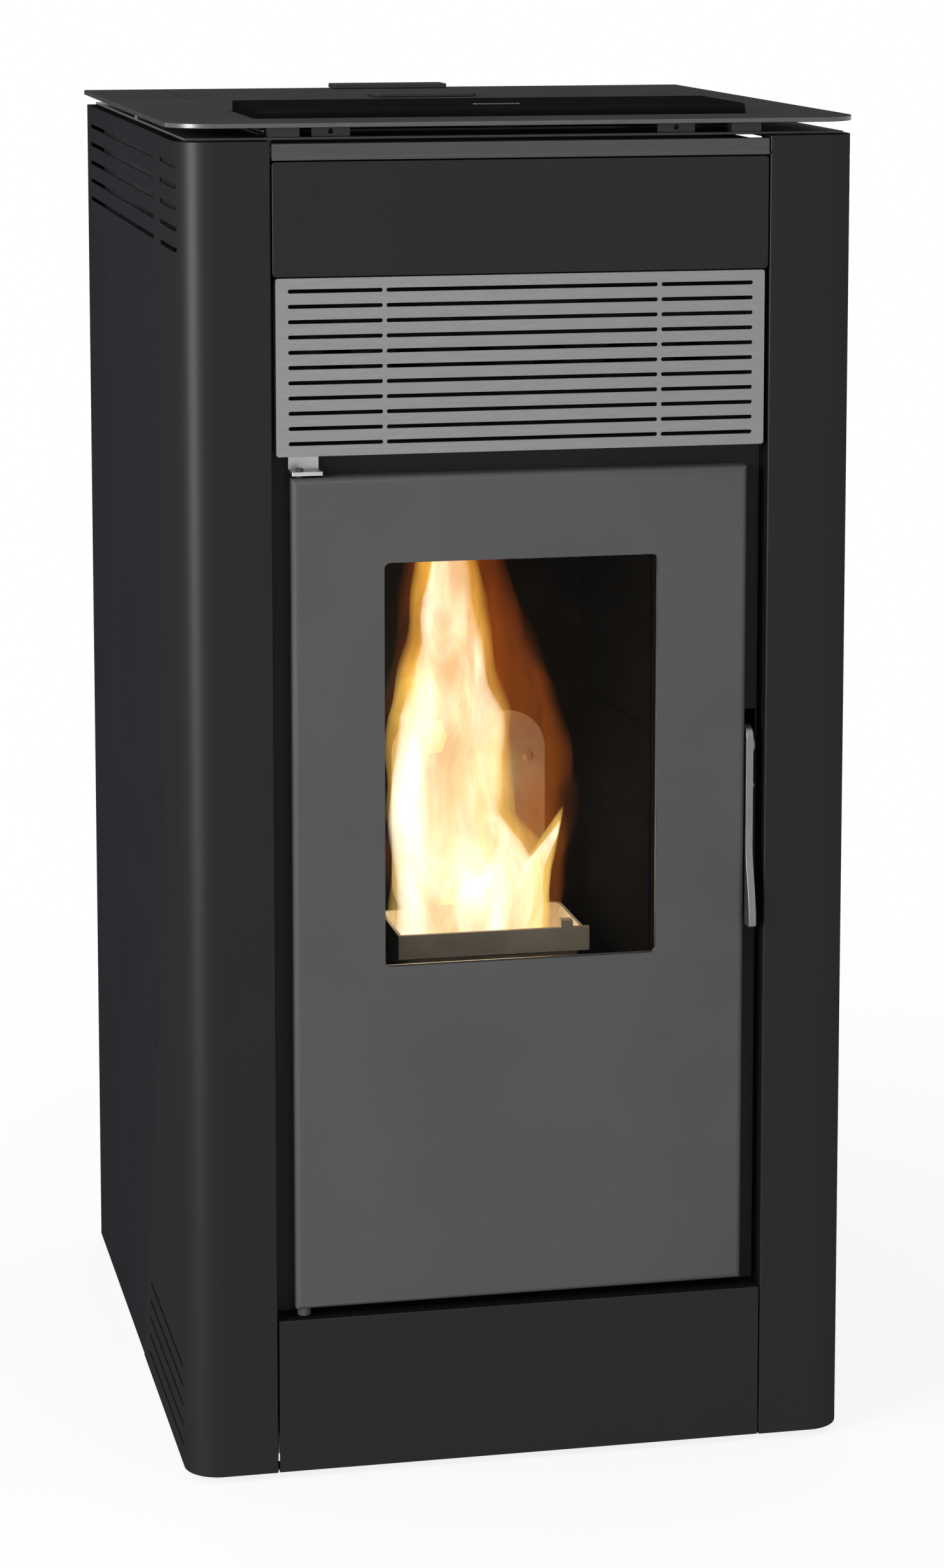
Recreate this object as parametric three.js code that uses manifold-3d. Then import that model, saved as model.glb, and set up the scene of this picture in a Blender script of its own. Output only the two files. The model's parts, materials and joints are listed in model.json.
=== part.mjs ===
// Pellet stove, in millimetres: x to the right, y from the front to the back, z up.
// Heights count from the floor and depths from the front plane of the columns. The finished group is moved
// along y, so that its origin lies at the bottom centre of the whole stove.
import * as THREE from 'three';
import { mergeVertices } from 'three/addons/utils/BufferGeometryUtils.js';
import Module from 'manifold-3d';

// ---------------------------------------------------------------- driving dimensions

// Clearances
const touch = 0.3; // between pieces that rest on each other
const running = 0.35; // round a pin or a stem that moves
const joint = 1; // visible gap between neighbouring panels

// Cabinet
const cabinetWidth = 540;
const cabinetDepth = 608;
const cabinetTop = 1065;
const groundGap = 6;
const sheet = 2;
const columnCorner = 28;
const openingWidth = 396; // between the two columns
const returnDepth = 26; // inner flange of a column
const seamDepth = 121; // rear edge of a column, above its kink
const seamKink = 440;
const seamFoot = 283;
const seamGap = 1.6;
const panelInset = 0.5;
const flangeWidth = 15;

// Side slots
const sideSlotRows = 5;
const sideSlotPitch = 16.25;
const sideSlotHeight = 3.5;
const sideSlotDrop = 18; // first row below the cabinet top
const sideSlotFirst = 23; // lowest row above the floor
const columnSlotFront = 18;
const columnSlotMargin = 18; // between a slot and the rear edge of the column
const footSlotFront = 31;
const footSlotEnd = 248;
const footSlotStep = 3.5; // each higher row ends this much sooner
const panelSlotFront = 142;
const panelSlotMargin = 20;

// Front
const ledgeHeight = 131;
const grilleBottom = 822;
const grilleTop = 960;
const grilleRows = 11;
const grillePitch = 11.8;
const grilleSlotHeight = 3.1;
const grilleMargin = 10;
const grilleBridge = 2.8;
const grilleMiddleWidth = 216;
const upperPanelTop = 1049.5;
const trimHeight = 12.5;
const trimDepth = 14;
const panelFold = 20;

// Door
const doorWidth = 365;
const doorBottom = 138.5;
const doorTop = 804.5;
const doorFront = 2;
const doorThickness = 22;
const doorSkin = 3;
const doorEdgeRadius = 5;
const windowWidth = 220;
const windowBottom = 414;
const windowTop = 736.5;
const windowCorner = 5;
const glassThickness = 4;
const glassLap = 13;
const hingeInset = 7.5; // hinge axis inside the door's left edge
const hingeDepth = 12;
const hingePinRadius = 3;
const sealWidth = 10;
const sealInset = 24;

// Handle
const leverWidth = 6;
const leverDepth = 20;
const leverTop = 594;
const leverBottom = 433;
const leverPivot = 578;
const leverPinRadius = 4;
const leverKick = 12; // the lower end stands this far in front of the door
const latchHoleBottom = 540;
const latchHoleTop = 604;
const latchSill = 4; // height of the striker above the foot of the latch opening
const latchDrop = 8; // free height between the striker and the nose of the handle

// Firebox
const fireFrontWidth = 224;
const fireBackWidth = 194;
const fireBackDepth = 212;
const fireWall = 4;
const liningThickness = 6;
const fireBottom = 150;
const hearthHeight = 290;
const fireTop = 804;
const plateWidth = 132;
const plateHeight = 176;
const plateBottom = 397;
const plateCorner = 33;
const plateThickness = 3;
const chuteWidth = 54;
const chuteMouthBottom = 409;
const chuteMouthTop = 495;

// Burn pot
const potWidth = 156;
const potFront = 108;
const potBack = 203;
const potTop = 408;
const potBottom = 350;
const potWall = 3;
const potBarWidth = 160;
const potBarHeight = 20;
const potTaper = 10; // the floor is smaller by this on the front and the back
const potTabWidth = 10;
const potTabRise = 6;
const potHoleRadius = 2.6;
const potHolePitch = 18;

// Ash drawer
const drawerHeadroom = 20; // between the drawer and the floor of the fire space
const drawerSide = 8; // room at each side
const drawerWall = 1.5;

// Hopper and auger
const hopperWidth = 380;
const hopperFront = 373;
const hopperBack = 547;
const hopperRim = 1072;
const hopperFlange = 8; // width of the flanges round the hopper
const funnelTop = 800;
const funnelBottom = 632;
const hopperWall = 1.5;
const augerRise = Math.atan(0.5);
const augerFoot = new THREE.Vector3(0, 520, 505);
const augerLength = 302;
const augerTubeRadius = 31;
const augerTubeWall = 3;
const screwRadius = 25;
const screwShaftRadius = 9;
const screwPitch = 50;
const screwThickness = 3;
const throatFront = 420;
const throatBack = 490;
const throatWidth = 58;
const throatTop = 600;
const dropFront = 252;
const dropBack = 300;
const dropBottom = 570;

// Flue
const fluePipeRadius = 40;
const fluePipeWall = 2;
const flueReach = 648;
const flueCentreX = -62;
const flueCentreZ = 190;
const ductLeft = 38;
const ductRight = 100;
const ductDepth = 40;
const flueFanX = 69;
const flueFanZ = 215;
const flueFanDepth = 50;
const flueScrollRadius = 62;
const flueImpellerRadius = 50;
const intakeRadius = 25;
const intakeX = -45;
const intakeZ = 320;
const intakeReach = 640;
const intakeWall = 1.5;
const intakeFlange = 9; // width of its flange on the firebox

// Room air fan
const roomFanLeft = 120;
const roomFanWidth = 120;
const roomFanDepthCentre = 450;
const roomFanHeightCentre = 150;
const roomScrollRadius = 70;
const roomImpellerRadius = 54;

// Top
const topPlateWidth = 550;
const topPlateFront = 5;
const topPlateBack = 583;
const topPlateThickness = 4;
const topPlateRise = 10; // free height between the cabinet and the plate
const topPlateCorner = 38;
const lidWidth = 408;
const lidFront = 370;
const lidBack = 551;
const lidGap = 1.5;
const gripWidth = 90;
const gripDepth = 40;
const gripHeight = 3;
const gripSetback = 18;
const hingeCoverWidth = 104;
const hingeCoverHeight = 4;
const coverWidth = 394;
const coverFront = 70;
const coverBack = 202;
const coverRise = 8; // above the top plate
const coverHeight = 12;
const coverWall = 2.5;
const coverEdgeRadius = 5;
const fingerSlotWidth = 38;
const fingerSlotDepth = 10;
const fingerSlotSetback = 25;
const buttonCount = 3;
const buttonPitch = 30;
const buttonRadius = 6.5;
const buttonRise = 2.2;

// Levelling feet
const footRadius = 19;
const footPad = 7;
const footStemRadius = 5;
const footSide = 225;
const footFront = 60;
const footBack = 560;
const trayTop = 28;
const traySkirt = 18;

// ---------------------------------------------------------------- solids and shapes

const wasm = await Module();
wasm.setup();

const arcSteps = 4;

// A closed geometry as a solid that can be joined and cut.
function solidOf(geometry) {
  const bare = geometry.clone();
  bare.deleteAttribute('normal');
  bare.deleteAttribute('uv');
  const merged = mergeVertices(bare, 1e-4);
  const vertProperties = new Float32Array(merged.attributes.position.array);
  const triVerts = new Uint32Array(merged.index.array);
  return new wasm.Manifold(new wasm.Mesh({ numProp: 3, vertProperties, triVerts }));
}

function join(...solids) {
  return solids.flat().reduce((whole, next) => whole.add(next));
}

function cut(solid, ...tools) {
  return tools.flat().reduce((rest, tool) => rest.subtract(tool), solid);
}

function block(x0, x1, y0, y1, z0, z1) {
  const geometry = new THREE.BoxGeometry(x1 - x0, y1 - y0, z1 - z0);
  geometry.translate((x0 + x1) / 2, (y0 + y1) / 2, (z0 + z1) / 2);
  return solidOf(geometry);
}

function extrude(shape, length) {
  return new THREE.ExtrudeGeometry(shape, { depth: length, bevelEnabled: false, curveSegments: arcSteps });
}

// A shape drawn in x and y, standing from z0 to z1.
function prismZ(shape, z0, z1) {
  const geometry = extrude(shape, z1 - z0);
  geometry.translate(0, 0, z0);
  return solidOf(geometry);
}

// A shape drawn in y and z, running from x0 to x1.
function prismX(shape, x0, x1) {
  const geometry = extrude(shape, x1 - x0);
  const axes = new THREE.Matrix4().makeBasis(
    new THREE.Vector3(0, 1, 0),
    new THREE.Vector3(0, 0, 1),
    new THREE.Vector3(1, 0, 0),
  );
  geometry.applyMatrix4(axes);
  geometry.translate(x0, 0, 0);
  return solidOf(geometry);
}

// A shape drawn in x and z, running from y0 to y1.
function prismY(shape, y0, y1) {
  const geometry = extrude(shape, y1 - y0);
  const axes = new THREE.Matrix4().makeBasis(
    new THREE.Vector3(1, 0, 0),
    new THREE.Vector3(0, 0, 1),
    new THREE.Vector3(0, -1, 0),
  );
  geometry.applyMatrix4(axes);
  geometry.translate(0, y1, 0);
  return solidOf(geometry);
}

function rodX(y, z, radius, x0, x1, sides = 16) {
  const geometry = new THREE.CylinderGeometry(radius, radius, x1 - x0, sides);
  geometry.rotateZ(Math.PI / 2);
  geometry.translate((x0 + x1) / 2, y, z);
  return solidOf(geometry);
}

function rodY(x, z, radius, y0, y1, sides = 16) {
  const geometry = new THREE.CylinderGeometry(radius, radius, y1 - y0, sides);
  geometry.translate(x, (y0 + y1) / 2, z);
  return solidOf(geometry);
}

function rodZ(x, y, radius, z0, z1, sides = 12) {
  const geometry = new THREE.CylinderGeometry(radius, radius, z1 - z0, sides);
  geometry.rotateX(Math.PI / 2);
  geometry.translate(x, y, (z0 + z1) / 2);
  return solidOf(geometry);
}

function polygon(...points) {
  return new THREE.Shape(points.map(([u, v]) => new THREE.Vector2(u, v)));
}

// Points on a circle from one angle to another, in degrees.
function arc(u, v, radius, from, to, steps = arcSteps) {
  return Array.from({ length: steps + 1 }, (_, i) => {
    const angle = THREE.MathUtils.degToRad(from + ((to - from) * i) / steps);
    return [u + radius * Math.cos(angle), v + radius * Math.sin(angle)];
  });
}

// A rectangle with one radius at its low-v corners and one at its high-v corners.
function roundedRectangle(u0, u1, v0, v1, lowRadius, highRadius = lowRadius) {
  return polygon(
    ...arc(u0 + lowRadius, v0 + lowRadius, lowRadius, 180, 270),
    ...arc(u1 - lowRadius, v0 + lowRadius, lowRadius, 270, 360),
    ...arc(u1 - highRadius, v1 - highRadius, highRadius, 0, 90),
    ...arc(u0 + highRadius, v1 - highRadius, highRadius, 90, 180),
  );
}

// A long slot with round ends.
function slot(u0, u1, v, height) {
  const radius = height / 2;
  return polygon(...arc(u1 - radius, v, radius, -90, 90, 2), ...arc(u0 + radius, v, radius, 90, 270, 2));
}

// A square-sided funnel between a lower and an upper rectangle, each given as [x0, x1, y0, y1].
function funnel(lower, z0, upper, z1) {
  const geometry = new THREE.BoxGeometry(2, 2, 2);
  const position = geometry.attributes.position;
  for (let i = 0; i < position.count; i += 1) {
    const high = position.getZ(i) > 0;
    const [x0, x1, y0, y1] = high ? upper : lower;
    const x = position.getX(i) > 0 ? x1 : x0;
    const y = position.getY(i) > 0 ? y1 : y0;
    position.setXYZ(i, x, y, high ? z1 : z0);
  }
  return solidOf(geometry);
}

// A body turned about the z axis from a closed profile of [radius, z] points.
function turned(profile, sides = 12) {
  const points = profile.map(([radius, z]) => new THREE.Vector2(radius, z));
  const geometry = new THREE.LatheGeometry(points, sides);
  geometry.rotateX(Math.PI / 2);
  return solidOf(geometry);
}

// A flight wound round the z axis, from z0 over a number of turns.
function flight(inner, outer, pitch, thickness, z0, turns, stepsPerTurn) {
  const phase = 0.15;
  const steps = Math.round(turns * stepsPerTurn);
  const positions = [];
  for (let i = 0; i <= steps; i += 1) {
    const angle = (2 * Math.PI * i) / stepsPerTurn + phase;
    const z = z0 + (pitch * i) / stepsPerTurn;
    for (const [radius, side] of [[inner, -1], [outer, -1], [outer, 1], [inner, 1]]) {
      positions.push(radius * Math.cos(angle), radius * Math.sin(angle), z + (side * thickness) / 2);
    }
  }
  const index = [0, 1, 2, 0, 2, 3];
  for (let i = 0; i < steps; i += 1) {
    for (let k = 0; k < 4; k += 1) {
      const a = 4 * i + k;
      const b = 4 * i + ((k + 1) % 4);
      index.push(a, a + 4, b, b, a + 4, b + 4);
    }
  }
  const last = 4 * steps;
  index.push(last, last + 2, last + 1, last, last + 3, last + 2);
  const geometry = new THREE.BufferGeometry();
  geometry.setAttribute('position', new THREE.Float32BufferAttribute(positions, 3));
  geometry.setIndex(index);
  return solidOf(geometry);
}

// ---------------------------------------------------------------- finishes

const finish = (color, roughness, metalness) => () =>
  new THREE.MeshStandardMaterial({ color, roughness, metalness });
const darkPaint = finish(0x3a3a3c, 0.5, 0.3);
const sidePaint = finish(0x2d2d2f, 0.45, 0.3);
const glossPaint = finish(0x2b2b2d, 0.12, 0.2);
const doorPaint = finish(0x565658, 0.55, 0.35);
const grilleSteel = finish(0x85858a, 0.4, 0.8);
const trimSteel = finish(0x6a6a6c, 0.3, 0.9);
const plainSteel = finish(0x9a9a9c, 0.45, 0.9);
const brightSteel = finish(0xc8c8ca, 0.22, 1);
const hotSteel = finish(0x3b342f, 0.75, 0.5);
const castIron = finish(0x2c2a29, 0.8, 0.5);
const lining = finish(0x4a4541, 0.95, 0);
const darkGlass = finish(0x0c0c0d, 0.06, 0);
const rope = finish(0x8d8b86, 0.95, 0);
const plastic = finish(0x1c1c1e, 0.5, 0);
const greyPlastic = finish(0x707074, 0.5, 0);

// ---------------------------------------------------------------- assembly helpers

const stove = new THREE.Group();

function assembly(x = 0, y = 0, z = 0, parent = stove) {
  const group = new THREE.Group();
  group.position.set(x, y, z);
  parent.add(group);
  return group;
}

function piece(parent, name, solid, material) {
  const mesh = solid.getMesh();
  const geometry = new THREE.BufferGeometry();
  geometry.setAttribute('position', new THREE.BufferAttribute(new Float32Array(mesh.vertProperties), 3));
  geometry.setIndex(new THREE.BufferAttribute(new Uint32Array(mesh.triVerts), 1));
  geometry.computeVertexNormals();
  const item = new THREE.Mesh(geometry, material());
  item.name = name;
  parent.add(item);
  return item;
}

// ---------------------------------------------------------------- cabinet

const halfWidth = cabinetWidth / 2;
const halfOpening = openingWidth / 2;
const plateFace = returnDepth + touch; // front face of the plate behind the door
const panelEnd = cabinetDepth - sheet - touch; // where the side panels end
const innerSide = halfWidth - sheet;
const frontWidth = halfOpening - joint;

// Heights of one of the two fields of slots in the sides.
const rowSteps = Array.from({ length: sideSlotRows }, (_, i) => i * sideSlotPitch);
const upperRows = rowSteps.map((step) => cabinetTop - sideSlotDrop - step);
const lowerRows = rowSteps.map((step) => sideSlotFirst + step);

// Rear edge of a column: upright down to the kink, then slanting back to the foot.
function seamLine(offset) {
  return [
    [seamDepth + offset, cabinetTop],
    [seamDepth + offset, seamKink],
    [seamFoot + offset, groundGap],
  ];
}

function sideSlots(rows, front, backOfRow, side) {
  const x0 = side > 0 ? halfWidth - columnCorner : -halfWidth - 1;
  return rows.map((z, i) => prismX(slot(front, backOfRow(i), z, sideSlotHeight), x0, x0 + columnCorner + 1));
}

function frontColumn(side) {
  const cornerX = halfWidth - columnCorner;
  const mirrored = (points) => polygon(...points.map(([x, y]) => [x * side, y]));
  const outside = [[halfOpening, 0], ...arc(cornerX, columnCorner, columnCorner, 270, 360)];
  const inside = arc(cornerX, columnCorner, columnCorner - sheet, 360, 270);
  const shell = prismZ(
    mirrored([
      ...outside,
      [halfWidth, seamFoot],
      [innerSide, seamFoot],
      ...inside,
      [halfOpening + sheet, sheet],
      [halfOpening + sheet, returnDepth],
      [halfOpening, returnDepth],
    ]),
    groundGap,
    cabinetTop,
  );
  const lid = prismZ(
    mirrored([...outside, [halfWidth, seamDepth], [halfOpening, seamDepth]]),
    cabinetTop - sheet,
    cabinetTop,
  );
  const [, kink, foot] = seamLine(0);
  const past = seamFoot + 1;
  const behind = prismX(
    polygon([seamDepth, cabinetTop + 1], kink, foot, [past, groundGap - 1], [past, cabinetTop + 1]),
    -halfWidth - 1,
    halfWidth + 1,
  );
  const slotsAbove = sideSlots(upperRows, columnSlotFront, () => seamDepth - columnSlotMargin, side);
  const slotsBelow = sideSlots(lowerRows, footSlotFront, (i) => footSlotEnd - i * footSlotStep, side);
  return cut(join(shell, lid), behind, slotsAbove, slotsBelow);
}

function sidePanel(side) {
  const outer = halfWidth - panelInset;
  const range = (width) => (side > 0 ? [outer - width, outer] : [-outer, width - outer]);
  const [top, kink, foot] = seamLine(seamGap);
  const outline = polygon(top, kink, foot, [panelEnd, groundGap], [panelEnd, cabinetTop]);
  const skin = prismX(outline, ...range(sheet));
  const rearFlange = block(...range(flangeWidth), panelEnd - sheet, panelEnd, groundGap, cabinetTop);
  const topFlange = block(
    ...range(flangeWidth),
    seamDepth + seamGap,
    panelEnd,
    cabinetTop - sheet,
    cabinetTop,
  );
  const slots = sideSlots(upperRows, panelSlotFront, () => panelEnd - panelSlotMargin, side);
  return cut(join(skin, rearFlange, topFlange), slots);
}

const cabinet = assembly();
piece(cabinet, 'left_front_column', frontColumn(-1), sidePaint);
piece(cabinet, 'right_front_column', frontColumn(1), sidePaint);
piece(cabinet, 'left_side_panel', sidePanel(-1), sidePaint);
piece(cabinet, 'right_side_panel', sidePanel(1), sidePaint);

// Base tray with a skirt all round, on four levelling feet that come up through it.
const trayHalf = innerSide - 2;
const trayFront = columnCorner + 2;
const trayBack = panelEnd - sheet - joint;
const footPlaces = [
  ['foot_front_left', -footSide, footFront],
  ['foot_front_right', footSide, footFront],
  ['foot_rear_left', -footSide, footBack],
  ['foot_rear_right', footSide, footBack],
];

function baseTray() {
  const whole = block(-trayHalf, trayHalf, trayFront, trayBack, trayTop - traySkirt, trayTop);
  const below = block(
    -trayHalf + sheet,
    trayHalf - sheet,
    trayFront + sheet,
    trayBack - sheet,
    trayTop - traySkirt - 1,
    trayTop - sheet,
  );
  const hole = (x, y) => rodZ(x, y, footStemRadius + touch, trayTop - sheet - 1, trayTop + 1, 8);
  const holes = footPlaces.map(([, x, y]) => hole(x, y));
  return cut(whole, below, holes);
}

// A rubber-edged pad, a hexagon under the tray and a stem through it, with its lock nut on top.
function foot() {
  const pad = turned([[0, 0], [footRadius, 0], [footRadius, footPad - 2], [9, footPad], [0, footPad]]);
  const nut = rodZ(0, 0, 9, footPad - 1, trayTop - sheet - touch, 6);
  const stem = rodZ(0, 0, footStemRadius, footPad - 1, trayTop + 12, 8);
  const lockNut = rodZ(0, 0, 9, trayTop + touch, trayTop + 6, 6);
  return join(pad, nut, stem, lockNut);
}

piece(cabinet, 'base_tray', baseTray(), plainSteel);
for (const [name, x, y] of footPlaces) {
  piece(assembly(x, y, 0, cabinet), name, foot(), plastic);
}

// Front panels between the columns
function baseFrontPanel() {
  const profile = polygon(
    [0, groundGap],
    [panelFold, groundGap],
    [panelFold, groundGap + sheet],
    [sheet, groundGap + sheet],
    [sheet, ledgeHeight - sheet],
    [returnDepth, ledgeHeight - sheet],
    [returnDepth, ledgeHeight],
    [0, ledgeHeight],
  );
  const holeRadius = hingePinRadius + running;
  const pinHole = rodZ(hingeX, hingeDepth, holeRadius, ledgeHeight - sheet - 1, ledgeHeight + 1);
  return cut(prismX(profile, -frontWidth, frontWidth), pinHole);
}

// A shallow pan: a face with folded edges all round, open at the back.
function pan(x0, x1, z0, z1, front, depth, corner) {
  const outside = prismY(roundedRectangle(x0, x1, z0, z1, corner), front, front + depth);
  const inside = block(x0 + sheet, x1 - sheet, front + sheet, front + depth + 1, z0 + sheet, z1 - sheet);
  return cut(outside, inside);
}

const hingeX = -doorWidth / 2 + hingeInset;
piece(cabinet, 'base_front_panel', baseFrontPanel(), sidePaint);
piece(
  cabinet,
  'upper_front_panel',
  pan(-frontWidth, frontWidth, grilleTop + joint, upperPanelTop, 0, panelFold, 3),
  glossPaint,
);

// Rows of long slots between a left, a middle and a right field.
function grilleSlots() {
  const outer = frontWidth - grilleMargin - 2;
  const middle = grilleMiddleWidth / 2;
  const fields = [[-outer, -middle - grilleBridge], [-middle, middle], [middle + grilleBridge, outer]];
  const first = grilleBottom + (grilleTop - grilleBottom - (grilleRows - 1) * grillePitch) / 2;
  const rows = Array.from({ length: grilleRows }, (_, i) => first + i * grillePitch);
  const opening = (x0, x1, z) => prismY(slot(x0, x1, z, grilleSlotHeight), 0, panelFold);
  return rows.flatMap((z) => fields.map(([x0, x1]) => opening(x0, x1, z)));
}

const grilleHalf = frontWidth - 2.5;
piece(
  cabinet,
  'air_grille',
  cut(pan(-grilleHalf, grilleHalf, grilleBottom, grilleTop, 1, panelFold, 2.1), grilleSlots()),
  grilleSteel,
);

// Trim bar: a folded strip whose lower lip stands out a little.
function trimBar() {
  const bottom = upperPanelTop + joint;
  const top = bottom + trimHeight;
  const profile = polygon(
    [0, top],
    [0, bottom + 3],
    [-1, bottom + 2],
    [-1, bottom + 0.5],
    [-0.5, bottom],
    [trimDepth, bottom],
    [trimDepth, bottom + sheet],
    [sheet, bottom + sheet],
    [sheet, top - sheet],
    [trimDepth, top - sheet],
    [trimDepth, top],
  );
  return prismX(profile, -frontWidth, frontWidth);
}
piece(cabinet, 'trim_bar', trimBar(), trimSteel);

// Plate behind the door and the grille, clamped behind the flanges of the columns.
const mouthHalf = fireFrontWidth / 2;
const latchLeft = doorWidth / 2 - 1;
const latchRight = halfOpening - joint;
const outletHalf = frontWidth - grilleMargin;
const plateLap = 20; // behind the flange of each column
const plateFoot = 40; // height of the plate's lower edge

function frontPlate() {
  const half = halfOpening + plateLap;
  const whole = block(-half, half, plateFace, plateFace + sheet, plateFoot, upperPanelTop - joint);
  const hole = (x0, x1, z0, z1) => block(x0, x1, plateFace - 1, plateFace + sheet + 1, z0, z1);
  return cut(
    whole,
    hole(-mouthHalf, mouthHalf, hearthHeight, fireTop - fireWall),
    hole(-mouthHalf, mouthHalf, fireBottom + fireWall, hearthHeight - fireWall),
    hole(latchLeft, latchRight, latchHoleBottom, latchHoleTop),
    hole(-outletHalf, outletHalf, grilleBottom + 6, grilleTop - 5),
  );
}
piece(cabinet, 'front_plate', frontPlate(), darkPaint);

// Block at the foot of the latch opening, on which the nose of the handle drops.
const strikerTop = latchHoleBottom + latchSill;
piece(
  cabinet,
  'latch_striker',
  prismX(
    polygon(
      [plateFace - 4, latchHoleBottom + touch],
      [plateFace + sheet, latchHoleBottom + touch],
      [plateFace + sheet, latchHoleBottom - 12],
      [plateFace + sheet + 3, latchHoleBottom - 12],
      [plateFace + sheet + 3, strikerTop],
      [plateFace - 3, strikerTop],
      [plateFace - 4, strikerTop - 1],
    ),
    latchLeft + 2,
    latchRight - 1,
  ),
  plainSteel,
);

// Bracket of the upper hinge pin, welded to the plate above the door.
const hingeBracketBottom = doorTop + 2;
const bracketInset = 7; // from the hinge axis to the bracket's left end
const bracketWidth = 24;
const bracketThickness = 3;

function upperHingeBracket() {
  const left = hingeX - bracketInset;
  const right = left + bracketWidth;
  const back = plateFace - touch;
  const leafTop = hingeBracketBottom + bracketThickness;
  const leaf = block(left, right, doorFront + 2, back, hingeBracketBottom, leafTop);
  const foot = block(left, right, back - bracketThickness, back, hingeBracketBottom, grilleBottom - joint);
  const pinHole = rodZ(hingeX, hingeDepth, hingePinRadius + running, hingeBracketBottom - 1, leafTop + 1);
  return cut(join(leaf, foot), pinHole);
}
piece(cabinet, 'upper_hinge_bracket', upperHingeBracket(), plainSteel);

// ---------------------------------------------------------------- firebox

const fireFront = plateFace + sheet + touch; // front of the flange that is bolted behind the plate
const liningRoom = liningThickness + 1;
const backWallRear = fireBackDepth + fireWall;
const drawerRoomHalf = fireBackWidth / 2 + liningRoom;

// Half width of the space between the linings at a depth.
const fireHalf = (y) =>
  THREE.MathUtils.mapLinear(y, fireFront, fireBackDepth, fireFrontWidth / 2, fireBackWidth / 2);

// Plan of the firebox, wider by an offset than the space between the linings.
function firePlan(offset, y0, y1) {
  return polygon(
    [-fireHalf(y0) - offset, y0],
    [fireHalf(y0) + offset, y0],
    [fireHalf(y1) + offset, y1],
    [-fireHalf(y1) - offset, y1],
  );
}

const ductMouthHeight = 80;
const ductMouthTop = fireTop - 24;
const ductMouthBottom = ductMouthTop - ductMouthHeight;
const igniterRadius = 6;
const igniterReach = 30; // behind the back wall
const igniterHeight = potBottom + 16;

function firebox() {
  const shell = prismZ(firePlan(liningRoom + fireWall, fireFront, backWallRear), fireBottom, fireTop);
  const flange = block(
    -fireHalf(fireFront) - liningRoom - 28,
    fireHalf(fireFront) + liningRoom + 28,
    fireFront,
    fireFront + fireWall,
    fireBottom - 6,
    fireTop + 10,
  );
  const fire = prismZ(firePlan(liningRoom, fireFront - 1, fireBackDepth), hearthHeight, fireTop - fireWall);
  const ash = prismZ(
    firePlan(liningRoom, fireFront - 1, fireBackDepth),
    fireBottom + fireWall,
    hearthHeight - fireWall,
  );
  const ashHalf = potWidth / 2 - 12;
  const throughWall = (x0, x1, z0, z1) => block(x0, x1, fireBackDepth - 1, backWallRear + 1, z0, z1);
  return cut(
    join(shell, flange),
    fire,
    ash,
    block(-ashHalf, ashHalf, potFront + 8, potBack - 8, hearthHeight - fireWall - 1, hearthHeight + 1),
    throughWall(-chuteWidth / 2, chuteWidth / 2, chuteMouthBottom, chuteMouthTop),
    throughWall(ductLeft + 6, ductRight - 3, ductMouthBottom, ductMouthTop),
    rodY(0, igniterHeight, igniterRadius + touch, fireBackDepth - 1, backWallRear + 1, 12),
    rodY(intakeX, intakeZ, intakeRadius - 2, fireBackDepth - 1, backWallRear + 1),
  );
}

// Slab that stands along one tapering side wall.
function sideLining(side) {
  const y0 = fireFront + fireWall + 2;
  const y1 = fireBackDepth - touch;
  const plan = polygon(
    [side * fireHalf(y0), y0],
    [side * (fireHalf(y0) + liningThickness), y0],
    [side * (fireHalf(y1) + liningThickness), y1],
    [side * fireHalf(y1), y1],
  );
  const groove = (z) => {
    const shallow = polygon(
      [side * (fireHalf(y0) - 1), y0 - 1],
      [side * (fireHalf(y0) + 1.2), y0 - 1],
      [side * (fireHalf(y1) + 1.2), y1 + 1],
      [side * (fireHalf(y1) - 1), y1 + 1],
    );
    return prismZ(shallow, z - 1.5, z + 1.5);
  };
  const slab = prismZ(plan, hearthHeight + touch, fireTop - fireWall - 2);
  return cut(slab, groove(chuteMouthTop + 96), groove(chuteMouthBottom - 22));
}

// Rounded plate over the back wall, with the pellet opening and five round screw heads.
const plateMiddle = plateBottom + plateHeight / 2;
const screwPlaces = [
  [0, plateBottom + plateHeight - 12],
  [-plateWidth / 2 + 15, plateMiddle + 48],
  [plateWidth / 2 - 15, plateMiddle + 48],
  [-plateWidth / 2 + 15, plateMiddle - 60],
  [plateWidth / 2 - 15, plateMiddle - 60],
];

function fireBackPlate() {
  const rear = fireBackDepth - touch;
  const front = rear - plateThickness;
  const outline = roundedRectangle(
    -plateWidth / 2,
    plateWidth / 2,
    plateBottom,
    plateBottom + plateHeight,
    plateCorner,
  );
  const opening = block(
    -chuteWidth / 2,
    chuteWidth / 2,
    front - 1,
    rear + 1,
    chuteMouthBottom,
    chuteMouthTop,
  );
  const heads = screwPlaces.map(([x, z]) => {
    const head = new THREE.SphereGeometry(4.5, 8, 4);
    head.scale(1, 0.6, 1);
    head.translate(x, front, z);
    return solidOf(head);
  });
  return join(cut(prismY(outline, front, rear), opening), heads);
}

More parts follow.
